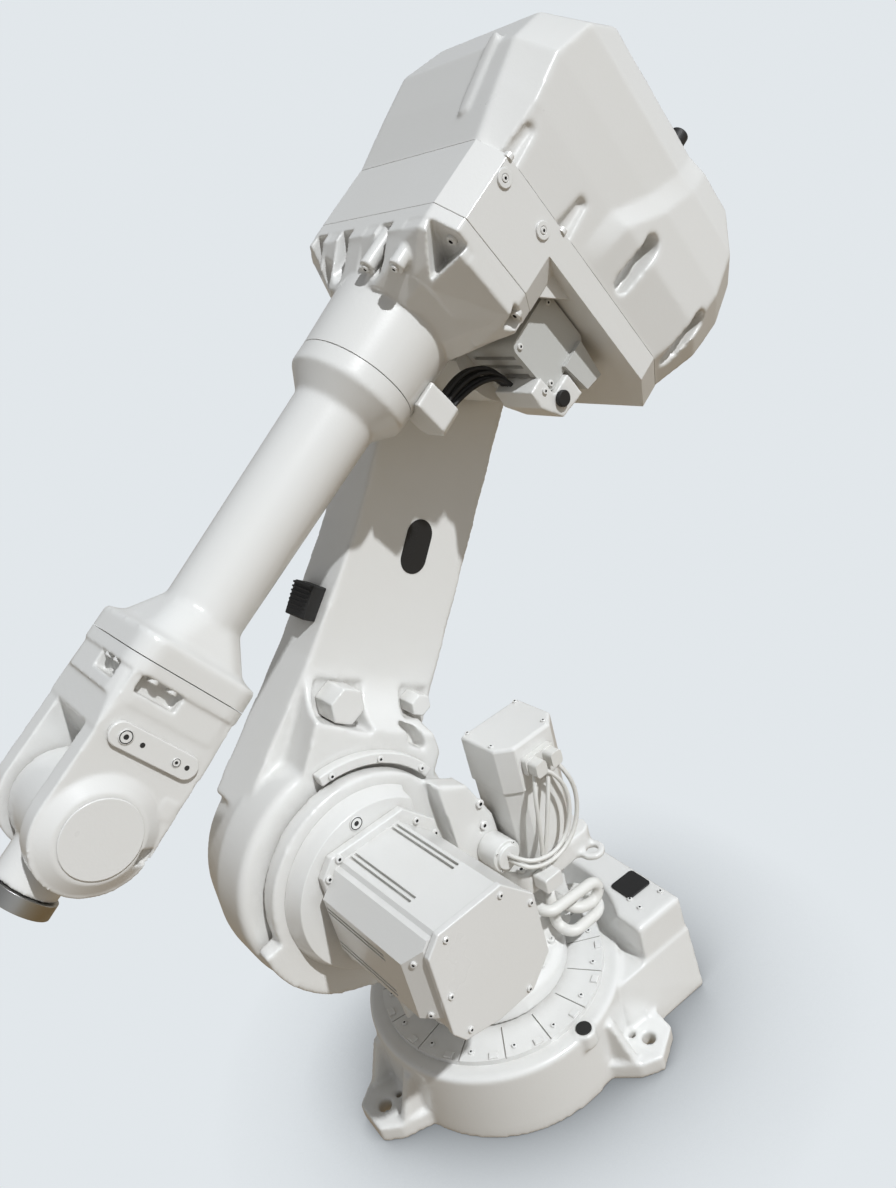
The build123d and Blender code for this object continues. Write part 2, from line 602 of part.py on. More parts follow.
with BuildPart() as stop_segment:
    with BuildSketch(side(LOWER, HUB_NEAR_Y + STOP_T)):
        with BuildLine():
            stop_in = CenterArc((0, 0), STOP_IN_R, 49, 68)
            stop_out = CenterArc((0, 0), HUB_R - HUB_EDGE_R + 8, 49, 68)
            Line(stop_in @ 0, stop_out @ 0)
            Line(stop_in @ 1, stop_out @ 1)
        make_face()
    extrude(amount=STOP_T)
save(stop_segment, "stop_segment")

with BuildPart() as hex_block:
    with BuildSketch(side(LOWER, WEB_NEAR_Y + 50)):
        with Locations((84, 264)):
            RegularPolygon(34, 6)
    extrude(amount=54)
save(hex_block, "hex_block")

with BuildPart() as small_block:
    with BuildSketch(side(LOWER, WEB_NEAR_Y + 36)):
        with Locations((-78, 278)):
            RegularPolygon(21, 6)
    extrude(amount=40)
save(small_block, "small_block")

with BuildPart() as arm_far_cover:
    with BuildSketch(side(LOWER, ARM_FAR_Y)):
        with BuildLine():
            Polyline((92, LOWER_LENGTH - 160), (92, 480), (116, 330), (-92, 330), (-92, LOWER_LENGTH - 160),
                     close=True)
        make_face()
        fillet(vertices(), 18)
    extrude(amount=6)
save(arm_far_cover, "arm_far_cover")

with BuildPart() as hub_far_cap:
    with BuildSketch(side(LOWER, ARM_FAR_Y)):
        Circle(132)
    extrude(amount=12)
    with BuildSketch(side(LOWER, ARM_FAR_Y - 12)):
        Circle(70)
    extrude(amount=10, taper=20)
save(hub_far_cap, "hub_far_cap")

with BuildPart() as elbow_far_cap:
    with BuildSketch(side(LOWER, ARM_FAR_Y)):
        with Locations((0, LOWER_LENGTH)):
            Circle(92)
    extrude(amount=10)
save(elbow_far_cap, "elbow_far_cap")

with BuildPart() as oval_plug:
    with BuildSketch(side(LOWER, WEB_NEAR_Y + OVAL_PLUG_T)):
        with Locations((-8, 545)):
            SlotOverall(96, 54, rotation=90)
    extrude(amount=OVAL_PLUG_T)
save(oval_plug, "oval_plug")

BUMPER_S = (442, 383)
BUMPER_EDGE = [130 + (470 - s) * 17 / 140 for s in BUMPER_S]
with BuildPart() as edge_bumper:
    with BuildSketch(side(LOWER, WEB_NEAR_Y - 22)):
        with BuildLine():
            Polyline((BUMPER_EDGE[0], BUMPER_S[0]), (160, BUMPER_S[0]), (164, BUMPER_S[1]),
                     (BUMPER_EDGE[1], BUMPER_S[1]), close=True)
        make_face()
    extrude(amount=62)
save(edge_bumper, "edge_bumper")

# Upper arm: elbow gear, housing, front casting down to the collar, and the rear cover over the motors
with BuildPart() as elbow_gear:
    with BuildSketch(side(UPPER, ELBOW_GEAR_NEAR_Y)):
        Circle(ELBOW_GEAR_R)
        with Locations((0, 60)):
            Rectangle(2 * 60, 110)
    extrude(amount=ELBOW_GEAR_NEAR_Y - ELBOW_FAR_Y)
    with BuildSketch(cross(FORE, HOUSING_REAR_S + PLATE_T)):
        with Locations((0, HOUSING_FLOOR_N - 200)):
            Rectangle(400, 400)
    extrude(amount=-200, mode=Mode.SUBTRACT)
    with BuildSketch(cross(FORE, HOUSING_REAR_S)):
        with Locations((0, HOUSING_FLOOR_N + 100)):
            Rectangle(400, 200)
    extrude(amount=400, both=True, mode=Mode.SUBTRACT)
    with BuildSketch(cross(FORE, HOUSING_FRONT_S)):
        with Locations((0, 82 - NECK_R)):
            Rectangle(400, 200)
    extrude(amount=200, mode=Mode.SUBTRACT)
    with BuildSketch(side(UPPER, ELBOW_FAR_Y)):
        Circle(JOURNAL_3_R)
    extrude(amount=36)
save(elbow_gear, "elbow_gear")


def housing_outline(inset):
    """Section of the elbow housing across the forearm axis, with the far lower corner left out."""
    top = HOUSING_TOP_N - inset
    half = HOUSING_HALF_W - inset
    far = ELBOW_FAR_Y
    return [(half - 36, top), (half, top - 34), (half, -52), (half - 20, HOUSING_FLOOR_N + inset),
            (far, HOUSING_FLOOR_N + inset), (far, FAR_FLOOR_N + inset), (-half, FAR_FLOOR_N + inset),
            (-half, top - 34), (36 - half, top)]


def cover_outline(top, shoulder, near, valley, low_near, low_top, low, far_low, far):
    """Eleven-cornered section of the rear cover: an upper bulge, a valley, and a wider lower bulge."""
    return [(shoulder, top), (near, top - 40), (near, valley), (low_near, low_top), (low_near, low + 70),
            (low_near - 40, low), (far_low, low), (far_low, FAR_FLOOR_N), (far, FAR_FLOOR_N), (far, top - 40),
            (-shoulder, top)]


NEAR = HOUSING_HALF_W
COVER_SECTIONS = [
    (HOUSING_REAR_S, cover_outline(HOUSING_TOP_N, 142, NEAR, -45, NEAR, -60, -393, ELBOW_FAR_Y, -NEAR)),
    (-150, cover_outline(140, 136, NEAR + 6, -98, NEAR + 20, -130, -416, ELBOW_FAR_Y, -NEAR + 2)),
    (-225, cover_outline(154, 130, NEAR + 8, -140, NEAR + 20, -176, -424, ELBOW_FAR_Y, 10 - NEAR)),
    (-300, cover_outline(136, 112, NEAR + 6, -170, NEAR + 12, -206, -412, ELBOW_FAR_Y + 8, -136)),
    (-362, cover_outline(86, 80, NEAR - 20, -190, NEAR - 10, -226, -372, ELBOW_FAR_Y + 40, -76)),
]
with BuildPart() as elbow_housing:
    with BuildSketch(cross(FORE, HOUSING_REAR_S)):
        with BuildLine():
            Polyline(*housing_outline(0), close=True)
        make_face()
    extrude(amount=HOUSING_FRONT_S - HOUSING_REAR_S - 1)
    # Back plate that carries the rear cover, and a small gusset under the floor
    with BuildSketch(cross(FORE, HOUSING_REAR_S)):
        with BuildLine():
            Polyline(*COVER_SECTIONS[0][1], close=True)
        make_face()
    extrude(amount=PLATE_T)
    with BuildSketch(side(FORE, MOTOR_3_END_Y + 28)):
        with BuildLine():
            Polyline((HOUSING_REAR_S + PLATE_T - 4, HOUSING_FLOOR_N + 4),
                     (HOUSING_REAR_S + PLATE_T - 4, HOUSING_FLOOR_N - 56),
                     (HOUSING_REAR_S + PLATE_T + 44, HOUSING_FLOOR_N + 4), close=True)
        make_face()
    extrude(amount=16)
    # Raised screw bosses on the near wall
    with BuildSketch(side(FORE, HOUSING_HALF_W + 3)):
        with Locations((-40, 74), (-40, -20)):
            Circle(13)
            Circle(6, mode=Mode.SUBTRACT)
    extrude(amount=3)
save(elbow_housing, "elbow_housing")

NECK_OUTLINE = [(58, 88), (90, 50), (95, -30), (75, -70), (-60, -84), (-72, -40), (-95, -20), (-90, 50),
                (-58, 88)]
POCKET_S = HOUSING_FRONT_S + 22
POCKET_W = 28.0
TOP_POCKETS_Y = (-146, -80, 20)
FRONT_BOSSES = [(19, 90), (84, 74)]
with BuildPart() as elbow_front:
    with BuildSketch(cross(FORE, HOUSING_FRONT_S)):
        with BuildLine():
            Polyline(*housing_outline(0), close=True)
        make_face()
    extrude(amount=FRONT_PLATE_T)
    with BuildSketch(cross(FORE, HOUSING_FRONT_S + FRONT_PLATE_T)):
        with BuildLine():
            Polyline(*housing_outline(2), close=True)
        make_face()
    with BuildSketch(cross(FORE, HOUSING_FRONT_S + FRONT_PLATE_T + 64)):
        with BuildLine():
            Polyline(*NECK_OUTLINE, close=True)
        make_face()
    loft(ruled=True)
    # Scooped pockets open to the outside let a spanner reach the flange bolts
    with BuildSketch(cross(FORE, POCKET_S)):
        for pocket_y in TOP_POCKETS_Y:
            with Locations((pocket_y, HOUSING_TOP_N - 4)):
                SlotOverall(80, POCKET_W, rotation=90)
        with BuildLine():
            Polyline((104, 140), (200, 140), (200, 52), (148, 44), (100, 84), close=True)
        make_face()
        with Locations((NEAR, HOUSING_FLOOR_N + 16)):
            SlotOverall(70, POCKET_W + 4, rotation=25)
    extrude(amount=130, mode=Mode.SUBTRACT)
    with BuildSketch(cross(FORE, HOUSING_FRONT_S + 10)):
        Circle(NECK_R)
    with BuildSketch(cross(FORE, COLLAR_END_S)):
        Circle(COLLAR_R)
    loft()
    for boss_y, boss_n in FRONT_BOSSES:
        with BuildSketch(cross(FORE, HOUSING_FRONT_S + 20)):
            with Locations((boss_y, boss_n)):
                Circle(13)
        extrude(amount=62)
    with BuildSketch(cross(FORE, COLLAR_END_S)):
        Circle(JOURNAL_4_R + RUNNING_FIT)
    extrude(amount=-60, mode=Mode.SUBTRACT)
save(elbow_front, "elbow_front")


with BuildPart() as helmet_cover:
    for front, rear in zip(COVER_SECTIONS[:-1], COVER_SECTIONS[1:]):
        for section_s, section in (front, rear):
            with BuildSketch(cross(FORE, section_s)):
                with BuildLine():
                    Polyline(*section, close=True)
                make_face()
        loft(ruled=True)
    # Scoops for the cover's screws at the seam
    for scoop_n in (84, -50):
        with BuildSketch(cross(FORE, HOUSING_REAR_S)):
            with Locations((HOUSING_HALF_W + 4, scoop_n)):
                Circle(17)
        extrude(amount=-58, taper=8, mode=Mode.SUBTRACT)
    # Two long grip recesses
    for grip_n in (-186, -352):
        with BuildSketch(side(FORE, HOUSING_HALF_W + 30)):
            with Locations((HOUSING_REAR_S - 66, grip_n)):
                SlotOverall(104, 30)
        extrude(amount=48, mode=Mode.SUBTRACT)
    # Low raised rib along the top
    crown_s, crown_outline = COVER_SECTIONS[2]
    top_slope = degrees(atan2(crown_outline[0][1] - HOUSING_TOP_N, HOUSING_REAR_S - crown_s))
    rib_frame = tipped(FORE, (HOUSING_REAR_S, 0, HOUSING_TOP_N), top_slope)
    with BuildSketch(level(rib_frame, -112, 84, -6)):
        SlotOverall(130, 18)
    extrude(amount=11)
save(helmet_cover, "helmet_cover")

with BuildPart() as helmet_plug:
    with BuildSketch(cross(FORE, -362)):
        with Locations((NEAR - 40, -164)):
            Circle(15)
    extrude(amount=-24)
save(helmet_plug, "helmet_plug")

with BuildPart() as axis_3_motor:
    with BuildSketch(side(UPPER, MOTOR_3_END_Y)):
        with Locations((MOTOR_3_S, 0)):
            RectangleRounded(2 * MOTOR_3_HALF, 2 * MOTOR_3_HALF, 14)
    extrude(amount=MOTOR_3_END_Y - ELBOW_GEAR_NEAR_Y)
    # Long cooling grooves on the front and the underside
    motor_3_under = UPPER.from_local_coords((MOTOR_3_S, 0, 6 - MOTOR_3_HALF))
    for groove in (-30, -10, 10, 30):
        for groove_frame in (
            cross(UPPER, MOTOR_3_S + MOTOR_3_HALF - 6),
            Plane(motor_3_under, x_dir=UPPER.y_dir, z_dir=UPPER.z_dir * -1),
        ):
            with BuildSketch(groove_frame):
                with Locations(((MOTOR_3_END_Y + ELBOW_GEAR_NEAR_Y) / 2, groove)):
                    Rectangle(MOTOR_3_END_Y - ELBOW_GEAR_NEAR_Y - 24, 8)
            extrude(amount=20, mode=Mode.SUBTRACT)
    # Terminal box below the motor's near end
    with BuildSketch(side(UPPER, MOTOR_3_END_Y + 8)):
        with BuildLine():
            Polyline((MOTOR_3_S - 42, 10 - MOTOR_3_HALF), (MOTOR_3_S + 8, 10 - MOTOR_3_HALF),
                     (MOTOR_3_S + 2, -MOTOR_3_HALF - 52), (MOTOR_3_S - 34, -MOTOR_3_HALF - 60), close=True)
        make_face()
    extrude(amount=62)
save(axis_3_motor, "axis_3_motor")

BRACKET_S = MOTOR_3_S + MOTOR_3_HALF
with BuildPart() as lead_bracket:
    with BuildSketch(side(UPPER, 138)):
        with BuildLine():
            Polyline((BRACKET_S, -14), (BRACKET_S + 30, -14), (BRACKET_S + 34, -46), (BRACKET_S + 14, -92),
                     (BRACKET_S - 40, -100), (BRACKET_S - 40, -MOTOR_3_HALF), (BRACKET_S, -MOTOR_3_HALF),
                     close=True)
        make_face()
    extrude(amount=86)
save(lead_bracket, "lead_bracket")

with BuildPart() as lead_grommet:
    with BuildSketch(side(UPPER, 146)):
        with Locations((BRACKET_S - 4, -68)):
            Circle(13)
    extrude(amount=8)
save(lead_grommet, "lead_grommet")

# Lead entry under the neck and the black bundle that runs to it from the bracket
ENTRY_S = HOUSING_FRONT_S + 150
with BuildPart() as lead_entry:
    with BuildSketch(cross(FORE, ENTRY_S)):
        with BuildLine():
            Polyline((20, -60), (82, -60), (82, -122), (72, -134), (30, -134), (20, -122), close=True)
        make_face()
    extrude(amount=44)
    with BuildSketch(cross(FORE, HOUSING_FRONT_S + 10)):
        Circle(NECK_R + SEAT_GAP)
    with BuildSketch(cross(FORE, COLLAR_END_S)):
        Circle(COLLAR_R + SEAT_GAP)
    loft(mode=Mode.SUBTRACT)
save(lead_entry, "lead_entry")

BUNDLE_R = 12.0
with BuildPart() as cable_bundle:
    with BuildLine():
        bundle_line = FilletPolyline(
            *[UPPER.from_local_coords(point) for point in (
                (BRACKET_S + 15, 70, -14), (BRACKET_S + 15, 70, 22), (ENTRY_S - 50, 50, ELBOW_RISE - 116),
                (ENTRY_S, 50, ELBOW_RISE - 116))],
            radius=26,
        )
    with BuildSketch(Plane(bundle_line @ 0, z_dir=bundle_line % 0)):
        Circle(BUNDLE_R)
    sweep(path=bundle_line)
save(cable_bundle, "cable_bundle")

# Forearm: collar and tube on the fourth axis, flared into the wrist flange
with BuildPart() as forearm_tube:
    with BuildSketch(cross(FORE, COLLAR_END_S + AXIS_4_SEAM)):
        Circle(COLLAR_R)
    extrude(amount=COLLAR_LEN)
    with BuildSketch(cross(FORE, COLLAR_END_S + AXIS_4_SEAM)):
        Circle(JOURNAL_4_R)
    extrude(amount=-50)
    with BuildSketch(cross(FORE, COLLAR_END_S + AXIS_4_SEAM + COLLAR_LEN)):
        Circle(COLLAR_R - 1)
    with BuildSketch(cross(FORE, TUBE_START_S)):
        Circle(TUBE_R)
    loft()
    with BuildSketch(cross(FORE, TUBE_START_S)):
        Circle(TUBE_R)
    with BuildSketch(cross(FORE, WRIST_SEAM_S - WRIST_FLANGE_T - FLARE_LEN)):
        Circle(TUBE_END_R)
    loft()
    with BuildSketch(cross(FORE, WRIST_SEAM_S - WRIST_FLANGE_T - FLARE_LEN)):
        RectangleRounded(2 * TUBE_END_R - 2, 2 * TUBE_END_R - 2, TUBE_END_R - 10)
    with BuildSketch(cross(FORE, WRIST_SEAM_S - WRIST_FLANGE_T)):
        RectangleRounded(2 * WRIST_HALF - 20, 2 * WRIST_HALF - 20, 40)
    loft()
    with BuildSketch(cross(FORE, WRIST_SEAM_S - WRIST_FLANGE_T)):
        RectangleRounded(2 * WRIST_HALF, 2 * WRIST_HALF, 30)
    extrude(amount=WRIST_FLANGE_T)
save(forearm_tube, "forearm_tube")

with BuildPart() as wrist_housing:
    with BuildSketch(cross(FORE, WRIST_SEAM_S)):
        RectangleRounded(2 * WRIST_HALF, 2 * WRIST_HALF, 30)
    extrude(amount=WRIST_BLOCK_LEN)
    for near_y in (CHEEK_OUT_Y, -CHEEK_IN_Y):
        with BuildSketch(side(FORE, near_y)):
            with BuildLine():
                Polyline((WRIST_SEAM_S + 20, CHEEK_R - 2), (WRIST_REACH, CHEEK_R), (WRIST_REACH, -CHEEK_R),
                         (WRIST_SEAM_S + 20, 2 - CHEEK_R), close=True)
            make_face()
            with Locations((WRIST_REACH, 0)):
                Circle(CHEEK_R)
        extrude(amount=CHEEK_OUT_Y - CHEEK_IN_Y)
    with BuildSketch(side(WRIST, CHEEK_OUT_Y)):
        Circle(CHEEK_R - 4)
    extrude(amount=-CHEEK_DOME, taper=58)
    with BuildSketch(side(WRIST, -CHEEK_OUT_Y)):
        Circle(CHEEK_R - 4)
    extrude(amount=CHEEK_DOME, taper=58)
    with BuildSketch(side(WRIST, CHEEK_IN_Y + 30)):
        Circle(JOURNAL_5_R + RUNNING_FIT)
    extrude(amount=2 * CHEEK_IN_Y + 60, mode=Mode.SUBTRACT)
    # Bolt pockets behind the wrist's flange, one in each side face
    for quarter in range(4):
        pocket_frame = Plane(
            FORE.from_local_coords((WRIST_SEAM_S + 4, 0, 0)),
            x_dir=FORE.y_dir * cos(radians(90 * quarter)) + FORE.z_dir * sin(radians(90 * quarter)),
            z_dir=FORE.x_dir,
        )
        with BuildSketch(pocket_frame):
            with Locations((WRIST_HALF, 36 if quarter % 2 == 0 else -32)):
                RectangleRounded(34, 64, 8)
        extrude(amount=38, mode=Mode.SUBTRACT)
    # Square recess on the near cheek
    with BuildSketch(side(FORE, CHEEK_OUT_Y)):
        with Locations((WRIST_REACH - 62, -66)):
            Rectangle(24, 18)
    extrude(amount=10, mode=Mode.SUBTRACT)
save(wrist_housing, "wrist_housing")

with BuildPart() as wrist_disc:
    with BuildSketch(side(WRIST, CHEEK_OUT_Y + CHEEK_DOME + 3)):
        Circle(CHEEK_R - 30)
    extrude(amount=3)
save(wrist_disc, "wrist_disc")

with BuildPart() as wrist_far_disc:
    with BuildSketch(side(WRIST, -CHEEK_OUT_Y - CHEEK_DOME)):
        Circle(CHEEK_R - 30)
    extrude(amount=3)
save(wrist_far_disc, "wrist_far_disc")

PLATE_S = WRIST_REACH - 122
with BuildPart() as wrist_plate:
    with BuildSketch(side(FORE, CHEEK_OUT_Y + 7)):
        with Locations((PLATE_S, 0)):
            SlotOverall(138, 34, rotation=90)
    extrude(amount=7)
save(wrist_plate, "wrist_plate")

# Tilt house on the fifth axis and tool flange on the sixth
with BuildPart() as tilt_house:
    with BuildSketch(side(WRIST, TILT_HALF_W)):
        Circle(TILT_R)
    extrude(amount=2 * TILT_HALF_W)
    with BuildSketch(side(WRIST, CHEEK_IN_Y + 26)):
        Circle(JOURNAL_5_R)
    extrude(amount=2 * CHEEK_IN_Y + 52)
    with BuildSketch(cross(WRIST, 0)):
        Circle(NOSE_R)
    extrude(amount=FLANGE_REACH - FLANGE_T - AXIS_4_SEAM)
    with BuildSketch(cross(WRIST, FLANGE_REACH - FLANGE_T - AXIS_4_SEAM)):
        Circle(JOURNAL_6_R + RUNNING_FIT)
    extrude(amount=-24, mode=Mode.SUBTRACT)
save(tilt_house, "tilt_house")

with BuildPart() as tool_flange:
    with BuildSketch(cross(WRIST, FLANGE_REACH - FLANGE_T)):
        Circle(FLANGE_R)
    extrude(amount=FLANGE_T)
    with BuildSketch(cross(WRIST, FLANGE_REACH - FLANGE_T)):
        Circle(JOURNAL_6_R)
    extrude(amount=-20)
    with BuildSketch(cross(WRIST, FLANGE_REACH)):
        Circle(FLANGE_PILOT_R)
        with PolarLocations(FLANGE_PCD / 2, 6):
            Circle(FLANGE_HOLE_R)
    extrude(amount=-14, mode=Mode.SUBTRACT)
save(tool_flange, "tool_flange")
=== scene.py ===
# %% [markdown]
# # A white six-axis robot arm
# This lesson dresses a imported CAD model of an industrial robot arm. The castings, motors and covers
# already have their true size and place, so nothing is moved here. Each step adds what a plain CAD
# solid lacks: rounded casting edges, paint, rubber, screws, loose-looking leads and a studio.

# %% Load the frame
import json
import math
import random

import bmesh
import bpy
from mathutils import Matrix, Vector
from mathutils.bvhtree import BVHTree

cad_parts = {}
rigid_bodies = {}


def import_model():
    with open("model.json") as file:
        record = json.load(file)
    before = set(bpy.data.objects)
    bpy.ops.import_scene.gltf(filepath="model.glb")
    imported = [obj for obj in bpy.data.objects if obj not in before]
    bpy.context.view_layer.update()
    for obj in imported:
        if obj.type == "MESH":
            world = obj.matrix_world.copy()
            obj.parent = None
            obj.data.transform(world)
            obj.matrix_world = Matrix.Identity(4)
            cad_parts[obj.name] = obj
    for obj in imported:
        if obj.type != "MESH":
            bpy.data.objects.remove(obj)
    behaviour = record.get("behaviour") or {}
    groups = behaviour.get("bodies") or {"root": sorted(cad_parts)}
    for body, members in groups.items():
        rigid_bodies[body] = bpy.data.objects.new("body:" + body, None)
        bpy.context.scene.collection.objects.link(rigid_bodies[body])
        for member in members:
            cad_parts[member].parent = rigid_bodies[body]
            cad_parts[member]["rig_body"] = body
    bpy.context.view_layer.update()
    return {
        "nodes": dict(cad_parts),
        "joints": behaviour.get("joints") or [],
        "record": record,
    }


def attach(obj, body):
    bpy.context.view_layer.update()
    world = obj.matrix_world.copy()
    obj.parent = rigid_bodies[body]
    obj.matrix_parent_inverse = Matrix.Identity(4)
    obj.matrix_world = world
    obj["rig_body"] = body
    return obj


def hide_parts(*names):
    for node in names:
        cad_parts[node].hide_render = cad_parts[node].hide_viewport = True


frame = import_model()

# %% [markdown]
# ## Frames along the arm
# Every detail is easiest to place in the coordinates of the link that carries it: along the arm,
# across it, and out of its face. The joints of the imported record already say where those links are,
# so the frames are read from them instead of being typed again.

# %% Link frames from the joints
JOINTS = {joint["name"]: joint for joint in frame["joints"]}
MM = 0.001
AXIS_4_START = 0.25  # metres along the forearm from the elbow to the fourth joint's point


def joint_point(name):
    return Vector(JOINTS[name]["pos_m"])


def joint_axis(name):
    return Vector(JOINTS[name]["axis"]).normalized()


def link_frame(origin, x_dir, y_dir):
    """Matrix of a link: columns are its X, Y and Z directions and its origin."""
    z_dir = x_dir.cross(y_dir).normalized()
    return Matrix.Translation(origin) @ Matrix((x_dir, y_dir, z_dir)).transposed().to_4x4()


ACROSS = joint_axis("axis_2")
ARM_UP = (joint_point("axis_3") - joint_point("axis_2")).normalized()
FORE_DIR = joint_axis("axis_4")
TURRET = link_frame(Vector((0, 0, 0)), ACROSS.cross(Vector((0, 0, 1))), ACROSS)
LOWER = link_frame(joint_point("axis_2"), ACROSS.cross(ARM_UP), ACROSS)
FORE = link_frame(joint_point("axis_4") - FORE_DIR * AXIS_4_START, FORE_DIR, ACROSS)
BASE = Matrix.Identity(4)


def place(link, x, y, z):
    """Point of a link frame, given in millimetres, in the row frame in metres."""
    return link @ (Vector((x, y, z)) * MM)


def toward(link, x, y, z):
    """Direction of a link frame in the row frame."""
    return (link.to_3x3() @ Vector((x, y, z))).normalized()


print("second axis at", [round(x, 3) for x in joint_point("axis_2")])

# %% [markdown]
# ## Paint, rubber and steel
# The real arm is sprayed with one thick white paint over rough castings. Up close that paint has an
# orange-peel ripple and slow clouds of unevenness, and its corners hold thin dust along with painted
# shade. These effects come back in several materials, so they are node groups with named inputs.

# %% Shader groups shared by the materials
GRAIN_SCALE, DUST_AND_SHADE_SCALE, PEEL_SCALE = 900.0, 40.0, 260.0


def new_group(name, inputs, outputs):
    """Empty shader group with float inputs given as name: default, and named outputs."""
    group = bpy.data.node_groups.new(name, "ShaderNodeTree")
    for label, default in inputs.items():
        socket = group.interface.new_socket(label, in_out="INPUT", socket_type="NodeSocketFloat")
        socket.default_value = default
    for label in outputs:
        group.interface.new_socket(label, in_out="OUTPUT", socket_type="NodeSocketFloat")
    return group, group.nodes.new("NodeGroupInput"), group.nodes.new("NodeGroupOutput")


def feed(tree, socket, value):
    """Give an input a number or a colour, or link an output to it."""
    if isinstance(value, bpy.types.NodeSocket):
        tree.links.new(value, socket)
    elif isinstance(value, tuple):
        socket.default_value = (*value, 1)
    else:
        socket.default_value = value


def add_node(tree, kind, inputs, output):
    """New node of a tree with its named inputs fed; gives one of its outputs."""
    node = tree.nodes.new(kind)
    for label, value in inputs.items():
        feed(tree, node.inputs[label], value)
    return node.outputs[output]


def add_math(tree, operation, a, b):
    """Math node of a tree; an operand is a number or a socket."""
    node = tree.nodes.new("ShaderNodeMath")
    node.operation = operation
    feed(tree, node.inputs[0], a)
    feed(tree, node.inputs[1], b)
    return node.outputs[0]


def add_mix(tree, factor, a, b):
    """Colour mix of a tree; each side is a colour or a socket."""
    node = tree.nodes.new("ShaderNodeMix")
    node.data_type = "RGBA"
    for label, value in (("Factor", factor), ("A", a), ("B", b)):
        feed(tree, node.inputs[label], value)
    return node.outputs["Result"]


def add_noise(tree, vector, scale, detail, roughness=0.5):
    """Noise node on the given coordinates; scale is a number or a socket."""
    inputs = {"Vector": vector, "Scale": scale, "Detail": detail, "Roughness": roughness}
    return add_node(tree, "ShaderNodeTexNoise", inputs, "Fac")


def make_spray_group():
    """Orange peel, slow unevenness and fine grain of a sprayed or moulded surface."""
    group, inside, out = new_group(
        "spray_surface", {"Peel Scale": PEEL_SCALE, "Cloud Scale": 5.0}, ["Height", "Cloud", "Grain"]
    )
    coords = group.nodes.new("ShaderNodeTexCoord").outputs["Object"]
    group.links.new(add_noise(group, coords, inside.outputs["Peel Scale"], 2.0), out.inputs["Height"])
    group.links.new(add_noise(group, coords, inside.outputs["Cloud Scale"], 4.0, 0.6), out.inputs["Cloud"])
    group.links.new(add_noise(group, coords, GRAIN_SCALE, 1.0), out.inputs["Grain"])
    return group


def make_corner_dust_and_shade_group():
    """Mask of corners where dust settles and shade is painted, broken up by noise."""
    group, inside, out = new_group("corner_dust", {"Reach": 0.03, "Amount": 0.5}, ["Mask"])
    # Occlusion finds closed corners; on the paints the mask darkens them as painted shade, and it also
    # stands for dust.
    occlusion = group.nodes.new("ShaderNodeAmbientOcclusion")
    occlusion.samples = 6
    group.links.new(inside.outputs["Reach"], occlusion.inputs["Distance"])
    coords = group.nodes.new("ShaderNodeTexCoord").outputs["Object"]
    closed = add_math(group, "SUBTRACT", 1.0, occlusion.outputs["AO"])
    broken = add_math(group, "MULTIPLY", closed, add_noise(group, coords, DUST_AND_SHADE_SCALE, 5.0, 0.65))
    group.links.new(add_math(group, "MULTIPLY", broken, inside.outputs["Amount"]), out.inputs["Mask"])
    return group


SPRAY = make_spray_group()
CORNER_DUST_AND_SHADE = make_corner_dust_and_shade_group()
print("shader groups", SPRAY.name, CORNER_DUST_AND_SHADE.name)

# %% [markdown]
# Every finish is the same recipe with other numbers: a colour that drifts with the clouds of the spray,
# dust and painted shade in the corners, and a fine ripple for the light to catch.

# %% Materials
CLOUD_FADE = (1.0, 1.1, 1.6)
ROUGH_SWING, DUST_ROUGH, GRAIN_SHARE, RIPPLE = 0.16, 0.5, 0.3, 0.001


def make_finish(name, colour, roughness, dust_and_shade_colour, dust_and_shade, peel=0.1, peel_scale=PEEL_SCALE,
                metallic=0.0, coat=0.0, coat_roughness=0.1, cloud_tint=0.04):
    """Principled finish whose colour and roughness vary with the shared groups."""
    material = bpy.data.materials.new(name)
    material.use_nodes = True
    tree = material.node_tree
    shader = tree.nodes["Principled BSDF"]
    shader.inputs["Metallic"].default_value = metallic
    shader.inputs["Coat Weight"].default_value = coat
    shader.inputs["Coat Roughness"].default_value = coat_roughness
    spray = tree.nodes.new("ShaderNodeGroup")
    spray.node_tree = SPRAY
    spray.inputs["Peel Scale"].default_value = peel_scale
    corner = tree.nodes.new("ShaderNodeGroup")
    corner.node_tree = CORNER_DUST_AND_SHADE
    corner.inputs["Amount"].default_value = dust_and_shade

    clouded = tuple(c * (1 - cloud_tint * k) for c, k in zip(colour, CLOUD_FADE))
    tint = add_mix(tree, spray.outputs["Cloud"], colour, clouded)
    # Corner mix: the dust colour, which on the paints is darker and paints shade into the corners.
    dusted_and_shaded = add_mix(tree, corner.outputs["Mask"], tint, dust_and_shade_colour)
    tree.links.new(dusted_and_shaded, shader.inputs["Base Color"])

    uneven = add_math(tree, "MULTIPLY", spray.outputs["Cloud"], ROUGH_SWING)
    base_rough = add_math(tree, "ADD", uneven, roughness - ROUGH_SWING / 2)
    worn = add_math(tree, "MULTIPLY", corner.outputs["Mask"], DUST_ROUGH)
    tree.links.new(add_math(tree, "ADD", base_rough, worn), shader.inputs["Roughness"])

    bump = tree.nodes.new("ShaderNodeBump")
    bump.inputs["Strength"].default_value = peel
    bump.inputs["Distance"].default_value = RIPPLE
    grain = add_math(tree, "MULTIPLY", spray.outputs["Grain"], GRAIN_SHARE)
    tree.links.new(add_math(tree, "ADD", spray.outputs["Height"], grain), bump.inputs["Height"])
    tree.links.new(bump.outputs["Normal"], shader.inputs["Normal"])
    return material
